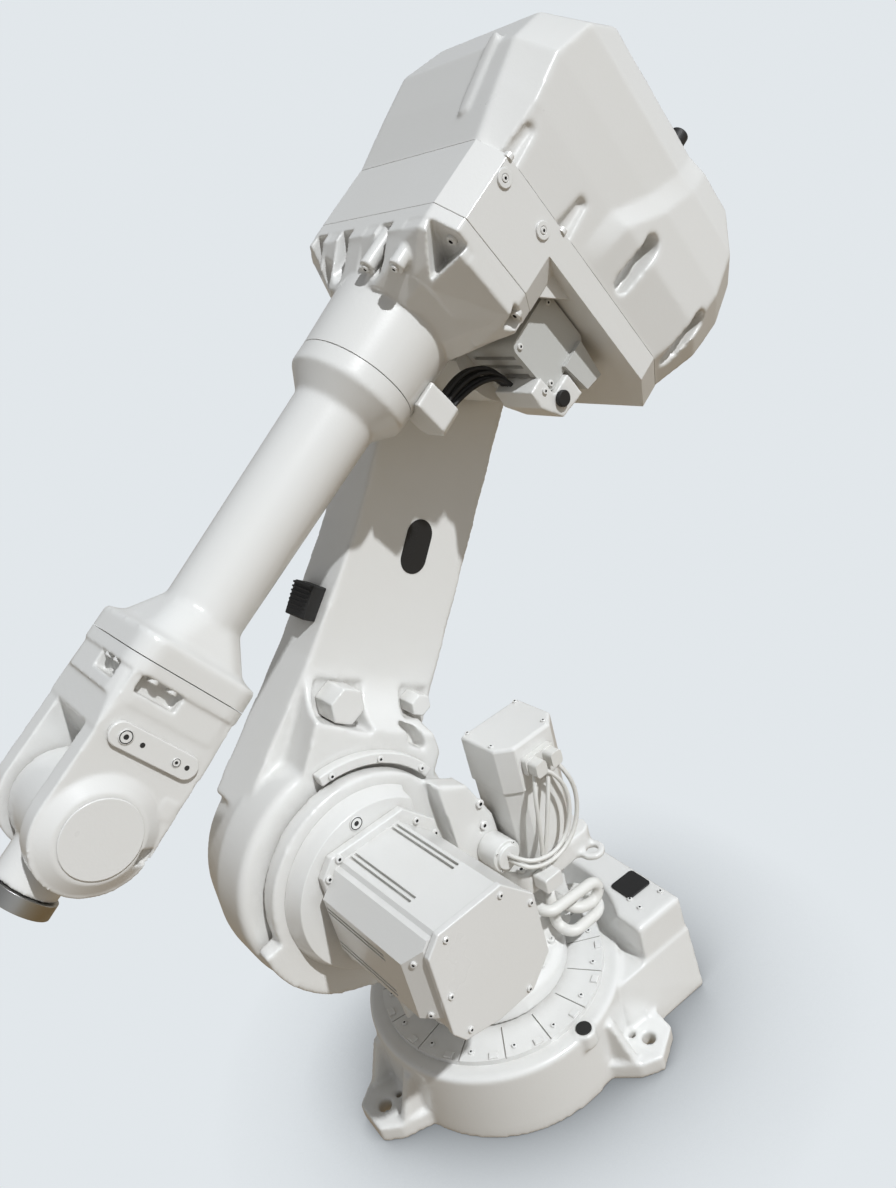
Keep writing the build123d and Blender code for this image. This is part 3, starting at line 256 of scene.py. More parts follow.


# Brownish corner colour of the paints: dust and painted shade together.
PAINT_DUST_AND_SHADE = (0.40, 0.37, 0.33)
FINISHES = {
    "white_paint": make_finish("arm_white_paint", (0.83, 0.835, 0.83), 0.30, PAINT_DUST_AND_SHADE, dust_and_shade=0.9,
                               coat=0.35, coat_roughness=0.12),
    "black_rubber": make_finish("black_rubber", (0.018, 0.018, 0.019), 0.55, (0.10, 0.10, 0.10), dust_and_shade=0.3,
                                peel=0.25, peel_scale=600.0, cloud_tint=0.2),
    "grey_paint": make_finish("motor_grey_paint", (0.60, 0.61, 0.60), 0.40, PAINT_DUST_AND_SHADE, dust_and_shade=0.9,
                              coat=0.15),
    "steel": make_finish("machined_steel", (0.56, 0.56, 0.55), 0.32, (0.2, 0.18, 0.16), dust_and_shade=0.5,
                         metallic=1.0, peel=0.05),
    "white_plastic": make_finish("white_plastic_sleeve", (0.80, 0.80, 0.78), 0.42, PAINT_DUST_AND_SHADE, dust_and_shade=0.5,
                                 peel=0.05),
}
# Near-black finish of screw sockets, grooves and holes: painted shade.
RECESS_PAINTED_SHADE = make_finish("screw_recess_black", (0.03, 0.03, 0.03), 0.6, (0.05, 0.05, 0.05), dust_and_shade=0.2)
NODE_SLOT = {part["node"]: part["material_slot"] for part in frame["record"]["subparts"]}
print("finishes", sorted(FINISHES))

# %% [markdown]
# ## Rounded castings
# A sand casting has no sharp edge: every outer edge is rounded and every inner corner is filled. The
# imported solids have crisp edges, so each one is copied and its loose triangles are welded back into
# flat faces. A turned or sheet-metal piece then gets a bevel on the edges that are sharper than the
# facets of its curved walls, and a casting gets a whole new skin.

# %% Copy of a CAD solid with rounded edges
WELD = 2e-5
FLAT = math.radians(0.6)
EDGE_ANGLE = math.radians(24)
BEVEL_SEGMENTS, FLAT_WEIGHT = 3, 60


def mesh_of(shape, name):
    """Mesh of a bmesh, which is freed."""
    mesh = bpy.data.meshes.new(name)
    shape.to_mesh(mesh)
    shape.free()
    return mesh


def linked(name, data):
    """New object of the scene with a mesh, curve, light or camera."""
    item = bpy.data.objects.new(name, data)
    bpy.context.scene.collection.objects.link(item)
    return item


def welded_copy(node, name):
    """New object with a node's mesh, its triangles welded and its flat faces made whole."""
    source = frame["nodes"][node].data
    cast = bmesh.new()
    verts = [cast.verts.new(v.co) for v in source.vertices]
    for polygon in source.polygons:
        corners = [verts[i] for i in polygon.vertices]
        if cast.faces.get(corners) is None:
            cast.faces.new(corners)
    bmesh.ops.remove_doubles(cast, verts=cast.verts, dist=WELD)
    bmesh.ops.dissolve_degenerate(cast, edges=cast.edges, dist=WELD)
    bmesh.ops.dissolve_limit(cast, angle_limit=FLAT, verts=cast.verts, edges=cast.edges)
    return linked(name, mesh_of(cast, name))


def baked(piece):
    """The piece with its modifiers turned into plain mesh."""
    graph = bpy.context.evaluated_depsgraph_get()
    mesh = bpy.data.meshes.new_from_object(piece.evaluated_get(graph))
    mesh.name = piece.name
    piece.modifiers.clear()
    piece.data = mesh
    return piece


def dress(piece, node):
    """Give a piece its finish and let it stand for a node on that node's body."""
    slot_name = NODE_SLOT[node]
    piece.data.materials.clear()
    piece.data.materials.append(FINISHES[slot_name])
    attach(piece, frame["nodes"][node]["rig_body"])
    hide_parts(node)


def plain_smooth(piece):
    """Shade a piece smooth all over."""
    for polygon in piece.data.polygons:
        polygon.use_smooth = True
    return piece


def round_edges(piece, width):
    """Bevel the sharp edges of a piece and shade it smooth with flat faces kept flat."""
    bevel = piece.modifiers.new("rounding", "BEVEL")
    bevel.width = width * MM
    bevel.segments = BEVEL_SEGMENTS
    bevel.limit_method = "ANGLE"
    bevel.angle_limit = EDGE_ANGLE
    bevel.use_clamp_overlap = True
    bevel.miter_outer = "MITER_ARC"
    plain_smooth(piece)
    weight = piece.modifiers.new("flat_faces", "WEIGHTED_NORMAL")
    weight.keep_sharp = False
    weight.weight = FLAT_WEIGHT
    return baked(piece)


print("edges past", round(math.degrees(EDGE_ANGLE)), "degrees get rounded")

# %% [markdown]
# The skin of a casting is a fine, even mesh laid over the solid and softened, which rounds outer edges
# and fills inner corners alike. A seam, the flat face where a casting meets its neighbour, has to stay
# crisp: the solid is run past it before the skin is made, and the skin is cut off there.

# %% Cast skins
RUN_PAST = 0.02
ON_SEAM, SAME_WAY = 1e-4, 0.999
SOFTEN = 0.5


def on_plane(face, point, normal):
    """Whether a face lies on a plane and points the plane's way."""
    away = (face.calc_center_median() - point).dot(normal)
    return abs(away) < ON_SEAM and face.normal.dot(normal) > SAME_WAY


def run_past_seams(piece, seams):
    """Push the faces of a piece that lie on its seams outwards."""
    cast = bmesh.new()
    cast.from_mesh(piece.data)
    for point, normal in seams:
        faces = [face for face in cast.faces if on_plane(face, point, normal)]
        if not faces:
            continue
        grown = bmesh.ops.extrude_face_region(cast, geom=faces)["geom"]
        verts = [item for item in grown if isinstance(item, bmesh.types.BMVert)]
        bmesh.ops.translate(cast, verts=verts, vec=normal * RUN_PAST)
        bmesh.ops.delete(cast, geom=faces, context="FACES")
    bmesh.ops.recalc_face_normals(cast, faces=cast.faces)
    cast.to_mesh(piece.data)
    cast.free()


def cut_at_seams(piece, seams):
    """Cut a skin flat at its seams and close it there with a sharp rim."""
    skin = bmesh.new()
    skin.from_mesh(piece.data)
    for point, normal in seams:
        everything = skin.verts[:] + skin.edges[:] + skin.faces[:]
        cut = bmesh.ops.bisect_plane(skin, geom=everything, plane_co=point, plane_no=normal,
                                     clear_outer=True)
        rim = [item for item in cut["geom_cut"] if isinstance(item, bmesh.types.BMEdge)]
        bmesh.ops.edgeloop_fill(skin, edges=rim)
        for edge in rim:
            edge.smooth = False
    bmesh.ops.recalc_face_normals(skin, faces=skin.faces)
    skin.to_mesh(piece.data)
    skin.free()


def cast_skin(piece, voxel, passes, seams):
    """Turn a solid into one even skin whose outer edges and inner corners are both rounded."""
    run_past_seams(piece, seams)
    skin = piece.modifiers.new("skin", "REMESH")
    skin.mode = "VOXEL"
    skin.voxel_size = voxel * MM
    soften = piece.modifiers.new("soften", "SMOOTH")
    soften.factor = SOFTEN
    soften.iterations = passes
    baked(piece)
    plain_smooth(piece)
    cut_at_seams(piece, seams)


def seam(link, x, hand):
    """Plane across a link's X axis: a point on it and its outward direction."""
    return place(link, x, 0, 0), toward(link, hand, 0, 0)


print("skins run", RUN_PAST, "m past their seams")

# %% [markdown]
# Some castings are plainer in the CAD model than in the photo: the front of the elbow has a lip that
# shades the neck, the tube flares out in a curve, and the wrist's fork is closed by a web. These forms
# are added to the copy as closed solids, and the skin then melts everything into one casting. Each is
# drawn by outlines in millimetres of a link's frame.

# %% Closed forms from outlines
CORNER_STEPS = 6


def close_loops(shape, loops):
    """Faces of a closed stack of vertex loops: a lid, the bands between the loops, and a lid."""
    count = len(loops[0])
    shape.faces.new(reversed(loops[0]))
    for low, high in zip(loops[:-1], loops[1:]):
        for side in range(count):
            after = (side + 1) % count
            shape.faces.new((low[side], low[after], high[after], high[side]))
    shape.faces.new(loops[-1])


def linked_form(shape, name):
    """Object of a closed form, with its normals outward."""
    bmesh.ops.recalc_face_normals(shape, faces=shape.faces)
    return linked(name, mesh_of(shape, name))


def solid_through(name, link, outlines):
    """Closed solid through outlines that have as many points each."""
    shape = bmesh.new()
    loops = [[shape.verts.new(place(link, *point)) for point in outline] for outline in outlines]
    close_loops(shape, loops)
    return linked_form(shape, name)


def hull_of(name, link, outlines):
    """Smallest convex solid round the points of some outlines."""
    shape = bmesh.new()
    verts = [shape.verts.new(place(link, *point)) for outline in outlines for point in outline]
    hull = bmesh.ops.convex_hull(shape, input=verts)
    spare = [item for item in hull["geom_interior"] if isinstance(item, bmesh.types.BMVert)]
    bmesh.ops.delete(shape, geom=spare, context="VERTS")
    return linked_form(shape, name)


def at_s(s, outline):
    """Outline of (y, n) pairs put across the forearm at a distance s."""
    return [(s, y, n) for y, n in outline]


def at_y(y, outline):
    """Outline of (s, n) pairs put beside the forearm's axis."""
    return [(s, y, n) for s, n in outline]


def rounded_square(half, radius):
    """Square of a half width with rounded corners, as (y, n) pairs."""
    outline = []
    reach = (half - radius) * math.sqrt(2)
    for corner in range(4):
        mid = math.radians(90 * corner + 45)
        for step in range(CORNER_STEPS + 1):
            angle = math.radians(90 * corner + 90 * step / CORNER_STEPS)
            outline.append((reach * math.cos(mid) + radius * math.cos(angle),
                            reach * math.sin(mid) + radius * math.sin(angle)))
    return outline


def drifted(outline, across, up):
    """Outline of (y, n) pairs shifted across and up."""
    return [(y + across, n + up) for y, n in outline]


def circle(radius, count, start=0.0):
    """Points round a circle as pairs."""
    angles = [math.radians(start + 360 * k / count) for k in range(count)]
    return [(radius * math.cos(a), radius * math.sin(a)) for a in angles]


print("a corner of a rounded square has", CORNER_STEPS + 1, "points")

# %% [markdown]
# The elbow's front is a thick plate that narrows to a lip. Slots and scoops are cut into it from the
# front, and each drifts outwards so that its bolt can be reached. Two round bosses stand before it.

# %% Lip and pockets of the elbow's front
HOUSING_REAR, HOUSING_FRONT = -68, 45
POCKET_S, SCOOP_LEN, PLATE_S, LIP_S, OVERLAP = 67, 90, 85, 125, 2
NEAR_PLATE = [(142, 121), (177, 87), (177, -52), (157, -87), (-60, -87), (-60, 121)]
NEAR_LIP = [(40, 96), (118, 76), (131, 50), (126, 4), (122, -32), (118, -68), (60, -84), (-40, -84)]
TOP_PLATE = [(142, 121), (177, 87), (177, -22), (-177, -22), (-177, 87), (-142, 121)]
TOP_LIP = [(40, 96), (118, 76), (131, 50), (126, 4), (-92, 20), (-88, 60), (-20, 96)]
SCOOPS = [
    ("screw_scoop", [(150, 124), (240, 170), (240, 66), (186, 66), (106, 40)], (48, 31)),
    ("low_scoop", [(186, -40), (146, -58), (156, -82), (214, -92), (220, -46)], (30, -20)),
]
SLOTS_Y, SLOT_LOW, SLOT_HIGH, SLOT_HALF, SLOT_DRIFT = (54, -46, -118), 88, 160, 15, (0, 22)
BOSSES, BOSS_R, BOSS_SIDES, BOSS_FROM, BOSS_END = [(45, 106), (108, 100)], 12, 16, 70, 132


def scoop(name, outline, drift):
    """Pocket that starts behind the elbow's front and drifts outwards."""
    ends = [at_s(POCKET_S, outline), at_s(POCKET_S + SCOOP_LEN, drifted(outline, *drift))]
    return solid_through(name, FORE, ends)


def slot_outline(y):
    """Upright slot with a rounded lower end."""
    angles = [math.radians(a) for a in range(0, 181, 30)]
    lower = [(y - SLOT_HALF * math.cos(a), SLOT_LOW - SLOT_HALF * math.sin(a)) for a in angles]
    return lower + [(y + SLOT_HALF, SLOT_HIGH), (y - SLOT_HALF, SLOT_HIGH)]


def elbow_forms():
    plates = []
    for name, plate, lip in (("near_plate", NEAR_PLATE, NEAR_LIP), ("top_plate", TOP_PLATE, TOP_LIP)):
        outlines = [at_s(POCKET_S - OVERLAP, plate), at_s(PLATE_S, plate), at_s(LIP_S, lip)]
        plates.append(hull_of(name, FORE, outlines))
    pockets = [scoop(*row) for row in SCOOPS]
    pockets += [scoop("slot", slot_outline(y), SLOT_DRIFT) for y in SLOTS_Y]
    bosses = []
    for y, n in BOSSES:
        end = drifted(circle(BOSS_R, BOSS_SIDES), y, n)
        bosses.append(solid_through("boss", FORE, [at_s(s, end) for s in (BOSS_FROM, BOSS_END)]))
    return plates, pockets, bosses


print("elbow front with", len(SCOOPS) + len(SLOTS_Y), "pockets and", len(BOSSES), "bosses")

# %% [markdown]
# The tube swells into a square with rounded corners, and the wrist's rim goes on from there. Under the
# rim the fork's shoulder narrows, with a pocket for two bolts in each of its four faces. The last form is
# low down: the wall between the connector block and the foot beside it.

# %% Flare, wrist and foot wall
COLLAR_SEAM, COLLAR_GAP, WRIST_SEAM, SEAM_GAP = 245, 1.5, 738, 0.6
FLARE = [(628, 57, 57), (655, 59, 58), (675, 64, 57), (690, 72, 52), (700, 82, 44), (706, 91, 36),
         (709, 95, 33), (764, 95, 33)]
RIM_FROM, RIM_END, RIM_HALF, RIM_CORNER = 716, 757, 95, 33
WEB = [(760, 84), (842, 84), (866, 38), (877, 0), (866, -38), (842, -84), (760, -84)]
WEB_HALF = 60
SHOULDER_HALF, SHOULDER_CORNER = 92, 30
SHOULDER_END, SHOULDER_Y, SHOULDER_N = 842, 90, 84
BOLT_POCKET_END, BOLT_POCKET_DEEP, BOLT_POCKET_OPEN = 781, 75, 110
BOLT_POCKETS = [(4, 68, False), (0, 64, True)]
OLD_RECESS, OLD_RECESS_Y = [(880, -54), (906, -54), (906, -76), (880, -76)], (70, 91)
NEW_RECESS, NEW_RECESS_Y = [(948, -58), (970, -62), (966, -84), (944, -80)], (82, 120)
FOOT_WALL = [(0, [(-322, 221), (-140, 217), (-110, 170), (-215, 100), (-322, 100)]),
             (140, [(-322, 206), (-129, 207), (-120, 170), (-215, 110), (-322, 110)])]


def flare_forms():
    sections = [at_s(s, rounded_square(half, radius)) for s, half, radius in FLARE]
    return [solid_through("flare", FORE, sections)], [], []


def bolt_pocket(hand, low, high, upright):
    """Box under the wrist's rim, in a side face or in an upper or lower one."""
    outline = [(BOLT_POCKET_DEEP, low), (BOLT_POCKET_OPEN, low),
               (BOLT_POCKET_OPEN, high), (BOLT_POCKET_DEEP, high)]
    pairs = [(along, out) if upright else (out, along) for out, along in outline]
    turned = [(hand * y, hand * n) for y, n in pairs]
    return solid_through("bolt_pocket", FORE, [at_s(s, turned) for s in (RIM_END, BOLT_POCKET_END)])


def wrist_forms():
    square = rounded_square(RIM_HALF, RIM_CORNER)
    rim = solid_through("rim", FORE, [at_s(s, square) for s in (RIM_FROM, RIM_END)])
    web = solid_through("web", FORE, [at_y(y, WEB) for y in (-WEB_HALF, WEB_HALF)])
    start = rounded_square(SHOULDER_HALF, SHOULDER_CORNER)
    end = [(y * SHOULDER_Y, n * SHOULDER_N) for y, n in ((1, 1), (-1, 1), (-1, -1), (1, -1))]
    shoulder = hull_of("shoulder", FORE, [at_s(RIM_END - OVERLAP, start), at_s(SHOULDER_END, end)])
    filled = solid_through("filled_recess", FORE, [at_y(y, OLD_RECESS) for y in OLD_RECESS_Y])
    cutters = [solid_through("recess", FORE, [at_y(y, NEW_RECESS) for y in NEW_RECESS_Y])]
    for hand in (1, -1):
        cutters += [bolt_pocket(hand, *pocket) for pocket in BOLT_POCKETS]
    return [rim, web, shoulder, filled], cutters, []


def base_forms():
    outlines = [[(x, y, z) for x, y in outline] for z, outline in FOOT_WALL]
    return [solid_through("foot_wall", BASE, outlines)], [], []


print("flare through", len(FLARE), "sections")

# %% [markdown]
# Now each casting gets its skin. A large casting takes a coarser one, in millimetres, than a small one,
# and the second number says how often it is softened. The forms of a casting come in three lists: those
# that are cut together with it, what cuts them, and those that stay whole.

# %% Skins of the castings
FORMS = {"base_casting": base_forms, "elbow_front": elbow_forms, "wrist_housing": wrist_forms,
         "forearm_tube": flare_forms}
SKINS = {
    "base_casting": (4.2, 4, []),
    "turret_casting": (4.3, 5, []),
    "lower_arm_casting": (4.5, 5, []),
    "elbow_front": (2.4, 3, [seam(FORE, HOUSING_FRONT, -1), seam(FORE, COLLAR_SEAM, 1)]),
    "helmet_cover": (3.6, 5, [seam(FORE, HOUSING_REAR, 1)]),
    "forearm_tube": (3.5, 6, [seam(FORE, COLLAR_SEAM + COLLAR_GAP, -1),
                              seam(FORE, WRIST_SEAM - SEAM_GAP, 1)]),
    "wrist_housing": (2.4, 4, [seam(FORE, WRIST_SEAM + SEAM_GAP, -1)]),
    "tilt_house": (3.0, 6, []),
    "lead_bracket": (2.0, 6, []),
    "lead_entry": (2.0, 6, []),
    "hex_block": (2.0, 4, []),
    "small_block": (1.5, 4, []),
}


def cut_out(targets, cutters):
    """Cut forms out of some objects and remove the forms."""
    for target in targets:
        for form in cutters:
            cutter = target.modifiers.new(form.name, "BOOLEAN")
            cutter.operation = "DIFFERENCE"
            cutter.solver = "EXACT"
            cutter.object = form
        baked(target)
    for form in cutters:
        bpy.data.objects.remove(form)


def melt_in(piece, forms):
    """Put the meshes of forms into a piece's mesh and remove the forms."""
    joined = bmesh.new()
    joined.from_mesh(piece.data)
    for form in forms:
        joined.from_mesh(form.data)
        bpy.data.objects.remove(form)
    joined.to_mesh(piece.data)
    joined.free()


for node, (voxel, passes, seams) in SKINS.items():
    piece = welded_copy(node, node + "_piece")
    if node in FORMS:
        cut, cutters, whole = FORMS[node]()
        cut_out([piece] + cut, cutters)
        melt_in(piece, cut + whole)
    cast_skin(piece, voxel, passes, seams)
    dress(piece, node)
    print(node, "skin", len(piece.data.polygons), "faces")

# %% [markdown]
# Turned and sheet-metal pieces keep truer edges than castings, so they only get a narrow bevel. Leads
# have no edges at all and are just shaded smooth.

# %% Bevelled pieces
BEVELS = {
    "ring_cover": 1.2, "base_window": 1.5, "base_plug": 1.0, "connector_panel": 2, "axis_2_ring": 4,
    "axis_2_flange": 2.5, "axis_2_motor": 1.2, "axis_2_motor_cover": 2.5, "axis_1_motor": 3,
    "axis_1_motor_cap": 2.5, "side_cover": 2.5, "motor_plugs": 3, "shelf_socket": 2.5, "stop_segment": 3,
    "arm_far_cover": 1.5, "hub_far_cap": 3, "elbow_far_cap": 3, "oval_plug": 0.5, "elbow_gear": 5,
    "elbow_housing": 2.5, "helmet_plug": 2, "axis_3_motor": 1.5, "lead_grommet": 2, "wrist_disc": 2.8,
    "wrist_far_disc": 2.8, "wrist_plate": 2, "tool_flange": 1.2,
}
for node, width in BEVELS.items():
    dress(round_edges(welded_copy(node, node + "_piece"), width), node)
LEADS = ["conduit_a", "conduit_b"]
for node in LEADS:
    dress(plain_smooth(welded_copy(node, node + "_piece")), node)
print("bevelled", len(BEVELS), "pieces,", len(LEADS), "leads")

# %% [markdown]
# ## Screws, ribs and dots
# The arm is held together by about a hundred socket screws, painted over with the castings. They all
# have one shape, so a Geometry Nodes tree puts a copy of one small mesh on every point of a list of
# seats. Each seat carries its own direction, a second direction for the turn about it, and a size. The
# same tree then sets the ribs of the rubber stop and the dots of the oval plug.

# %% Tree that sets copies on seats


def make_seat_tree():
    """Geometry Nodes tree: one copy of an object on each point, turned and scaled by the point's values."""
    tree = bpy.data.node_groups.new("copies_on_seats", "GeometryNodeTree")
    sockets = {}
    for label, kind in (("Seats", "Geometry"), ("Copy", "Object"), ("Finish", "Material"),
                        ("Recess Finish", "Material"), ("Size", "Float")):
        sockets[label] = tree.interface.new_socket(label, in_out="INPUT", socket_type="NodeSocket" + kind)
    sockets["Size"].default_value = 1.0
    tree.interface.new_socket("Copies", in_out="OUTPUT", socket_type="NodeSocketGeometry")
    inside = tree.nodes.new("NodeGroupInput")
    out = tree.nodes.new("NodeGroupOutput")

    def stored(name, kind):
        node = tree.nodes.new("GeometryNodeInputNamedAttribute")
        node.data_type = kind
        node.inputs["Name"].default_value = name
        return node.outputs["Attribute"]

    def aligned(axis, vector, rotation=None):
        node = tree.nodes.new("FunctionNodeAlignRotationToVector")
        node.axis = axis
        tree.links.new(vector, node.inputs["Vector"])
        if rotation:
            node.pivot_axis = "Z"
            tree.links.new(rotation, node.inputs["Rotation"])
        return node.outputs["Rotation"]

    given = inside.outputs
    source = add_node(tree, "GeometryNodeObjectInfo", {"Object": given["Copy"]}, "Geometry")
    turned = aligned("X", stored("along", "FLOAT_VECTOR"), aligned("Z", stored("facing", "FLOAT_VECTOR")))
    size = add_math(tree, "MULTIPLY", stored("seat_size", "FLOAT"), given["Size"])
    inputs = {"Points": given["Seats"], "Instance": source, "Rotation": turned, "Scale": size}
    copies = add_node(tree, "GeometryNodeInstanceOnPoints", inputs, "Instances")
    real = add_node(tree, "GeometryNodeRealizeInstances", {"Geometry": copies}, "Geometry")
    inputs = {"Geometry": real, "Material": given["Finish"]}
    painted = add_node(tree, "GeometryNodeSetMaterial", inputs, "Geometry")
    # Faces marked as recess get the near-black finish, painted shade in sockets, grooves and holes.
    marked = stored("recess", "BOOLEAN")
    inputs = {"Geometry": painted, "Selection": marked, "Material": given["Recess Finish"]}
    recessed = add_node(tree, "GeometryNodeSetMaterial", inputs, "Geometry")
    tree.links.new(recessed, out.inputs["Copies"])
    return tree, {label: socket.identifier for label, socket in sockets.items()}


SEAT_TREE, SEAT_INPUT = make_seat_tree()


def set_copies(name, seats, source, body, slot_name):
    """One plain mesh with a copy of the source on every (place, facing, along, size) seat of a body."""
    mesh = bpy.data.meshes.new(name)
    mesh.from_pydata([seat[0] for seat in seats], [], [])
    for index, label in ((1, "facing"), (2, "along")):
        values = [value for seat in seats for value in seat[index]]
        mesh.attributes.new(label, "FLOAT_VECTOR", "POINT").data.foreach_set("vector", values)
    sizes = [seat[3] for seat in seats]
    mesh.attributes.new("seat_size", "FLOAT", "POINT").data.foreach_set("value", sizes)
    piece = linked(name, mesh)
    setter = piece.modifiers.new("copies", "NODES")
    setter.node_group = SEAT_TREE
    setter[SEAT_INPUT["Copy"]] = source
    setter[SEAT_INPUT["Finish"]] = FINISHES[slot_name]
    setter[SEAT_INPUT["Recess Finish"]] = RECESS_PAINTED_SHADE
    setter[SEAT_INPUT["Size"]] = MM
    baked(piece)
    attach(piece, body)
    print(name, len(seats), "copies,", len(piece.data.polygons), "faces")


print("inputs", sorted(SEAT_INPUT))

# %% [markdown]
# The screw is a lathe shape: a straight wall, a small chamfer, and a six-sided socket in the top. It is
# drawn with a radius of one, so a seat's size is the head's radius in millimetres. The socket's faces
# carry a mark that lets the tree paint them near black: painted shade in the deep socket.

# %% Small meshes that get copied
SCREW_SIDES = 18
# A ring's kind is (is_hexagon, is_shade_painted): whether it is six-sided, and whether its band gets
# painted shade
ROUND, SHADE_PAINTED, HEX, HEX_SHADE_PAINTED = (False, False), (False, True), (True, False), (True, True)


def hexagon_radius(angle, across):
    """Distance from the middle of a hexagon to its side, in the given direction."""
    part = (angle + math.pi / 6) % (math.pi / 3) - math.pi / 6
    return across * math.cos(math.pi / 6) / math.cos(part)


def lathe(name, rings):
    """Closed stack of rings (radius, height, kind); a shade-painted ring paints the band up to it near
    black as painted shade.
    """
    shape = bmesh.new()
    angles = [2 * math.pi * side / SCREW_SIDES for side in range(SCREW_SIDES)]
    loops = []
    for radius, height, (is_hexagon, _) in rings:
        loop = []
        for angle in angles:
            reach = hexagon_radius(angle, radius) if is_hexagon else radius
            loop.append(shape.verts.new((reach * math.cos(angle), reach * math.sin(angle), height)))
        loops.append(loop)
    close_loops(shape, loops)
    bands = [is_shade_painted for _, _, (_, is_shade_painted) in rings[1:] for side in range(SCREW_SIDES)]
    shade_painted = [False] + bands + bands[-1:]
    mesh = mesh_of(shape, name)
    mesh.attributes.new("recess", "BOOLEAN", "FACE").data.foreach_set("value", shade_painted)
    return bpy.data.objects.new(name, mesh)


def rounded_bar(name, length, width, height):
    """Bar along X on the plane z 0 with its upper edges chamfered."""
    bar = bmesh.new()
    loops = []
    for inset, z in ((0.0, -0.2 * height), (0.0, 0.6 * height), (0.25 * height, height)):
        x, y = length / 2 - inset, width / 2 - inset
        loops.append([bar.verts.new(corner + (z,)) for corner in ((-x, -y), (x, -y), (x, y), (-x, y))])
    close_loops(bar, loops)
    return bpy.data.objects.new(name, mesh_of(bar, name))


SCREW_HEAD = lathe("screw_head", [
    (1.0, -0.5, ROUND), (1.0, 0.5, ROUND), (0.86, 0.66, ROUND),
    (0.46, 0.66, HEX), (0.44, 0.25, HEX_SHADE_PAINTED)])
# The flush screw's groove and centre are painted near black as painted shade.
FLUSH_HEAD = lathe("flush_head", [
    (1.0, -0.3, ROUND), (1.0, 0.16, ROUND), (0.95, 0.2, ROUND),
    (0.90, 0.2, ROUND), (0.88, 0.05, SHADE_PAINTED), (0.78, 0.05, SHADE_PAINTED),
    (0.76, 0.2, SHADE_PAINTED), (0.36, 0.2, ROUND), (0.32, 0.06, SHADE_PAINTED)])
# A thin near-black disc that stands for a hole: painted shade where the hole would be.
HOLE_SHADE_DISC = lathe("dark_hole", [
    (1.0, -0.3, ROUND), (1.0, 0.08, SHADE_PAINTED), (0.9, 0.1, SHADE_PAINTED)])
PLUG_DOT = lathe("plug_dot", [
    (1.0, -0.3, ROUND), (0.8, 0.4, ROUND), (0.3, 0.6, ROUND)])
RIB = rounded_bar("stop_rib", 58, 3.6, 3.0)
PAD = rounded_bar("ring_pad", 12, 16, 4.0)
MARK = rounded_bar("slot_mark", 34, 5, 0.8)
print("screw head", len(SCREW_HEAD.data.polygons), "faces")

# %% [markdown]
# A screw has to sit on the casting, not float over it. Each seat is given roughly, and a ray along the
# screw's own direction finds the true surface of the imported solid. A seat whose ray meets nothing
# nearby is left out, which thins a full circle of screws where a wall stands in the way. Seats on the
# forms that were added above name no solid and are used as given.

# %% Seats on the castings
random.seed(7)
RAY_BACK, RAY_REACH, RAY_SLACK = 0.025, 0.06, 0.012
TREES = {}


def surface_tree(node):
    """Ray-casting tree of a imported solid, made once for each node."""
    if node not in TREES:
        mesh = frame["nodes"][node].data
        TREES[node] = BVHTree.FromPolygons([v.co for v in mesh.vertices],
                                           [list(p.vertices) for p in mesh.polygons])
    return TREES[node]


def seats_on(node, link, drive, size, points):
    """Seats of screws near points of a link, put on the surface of a node if one is named."""
    drive = toward(link, *drive)
    side = drive.orthogonal().normalized()
    seats = []
    for point in points:
        seat = place(link, *point)
        if node:
            start = seat - drive * RAY_BACK
            seat, _, _, distance = surface_tree(node).ray_cast(start, drive, RAY_REACH)
            if seat is None or abs(distance - RAY_BACK) > RAY_SLACK:
                continue
        turn = random.uniform(0, math.pi)
        along = side * math.cos(turn) + drive.cross(side) * math.sin(turn)
        seats.append((seat, -drive, along, size))
    return seats


IN, OUT, DOWN, AHEAD, BACK = (0, -1, 0), (0, 1, 0), (0, 0, -1), (1, 0, 0), (-1, 0, 0)
MOTOR_2_AT = (170, 525)
MOTOR_2_FOOT_Y, MOTOR_2_END_Y = 62, 311
FLANGE_SCREWS = [(92, 83), (66, 104), (-80, 77), (-106, 32), (-106, -60), (-60, -119)]
COVER_SCREWS = [(56, 84), (-46, 84), (-92, 34), (75, -7), (-50, -104), (62, -85)]
ELBOW_S = (joint_point("axis_3") - joint_point("axis_2")).length / MM
RING_TOP_Z, RING_COUNT, BLOCK_TOP_Z, CAP_TOP_Z = 160, 16, 218, 643
WRIST_PLATE_S, WRIST_PLATE_Y = 833, 97
RIM_BOLT_OUT, RIM_BOLT_HALF = 86, 15


def motor_2(points, y):
    """Points of the second motor's end view, put at a distance y."""
    return [(MOTOR_2_AT[0] + x, y, MOTOR_2_AT[1] + z) for x, z in points]


def rim_bolts():
    """Pairs of bolts in the pockets under the wrist's rim."""
    points = []
    for low, high, upright in BOLT_POCKETS:
        for hand in (1, -1):
            for offset in (-RIM_BOLT_HALF, RIM_BOLT_HALF):
                along = ((low + high) / 2 + offset) * hand
                out = RIM_BOLT_OUT * hand
                points.append((RIM_END, along, out) if upright else (RIM_END, out, along))
    return points


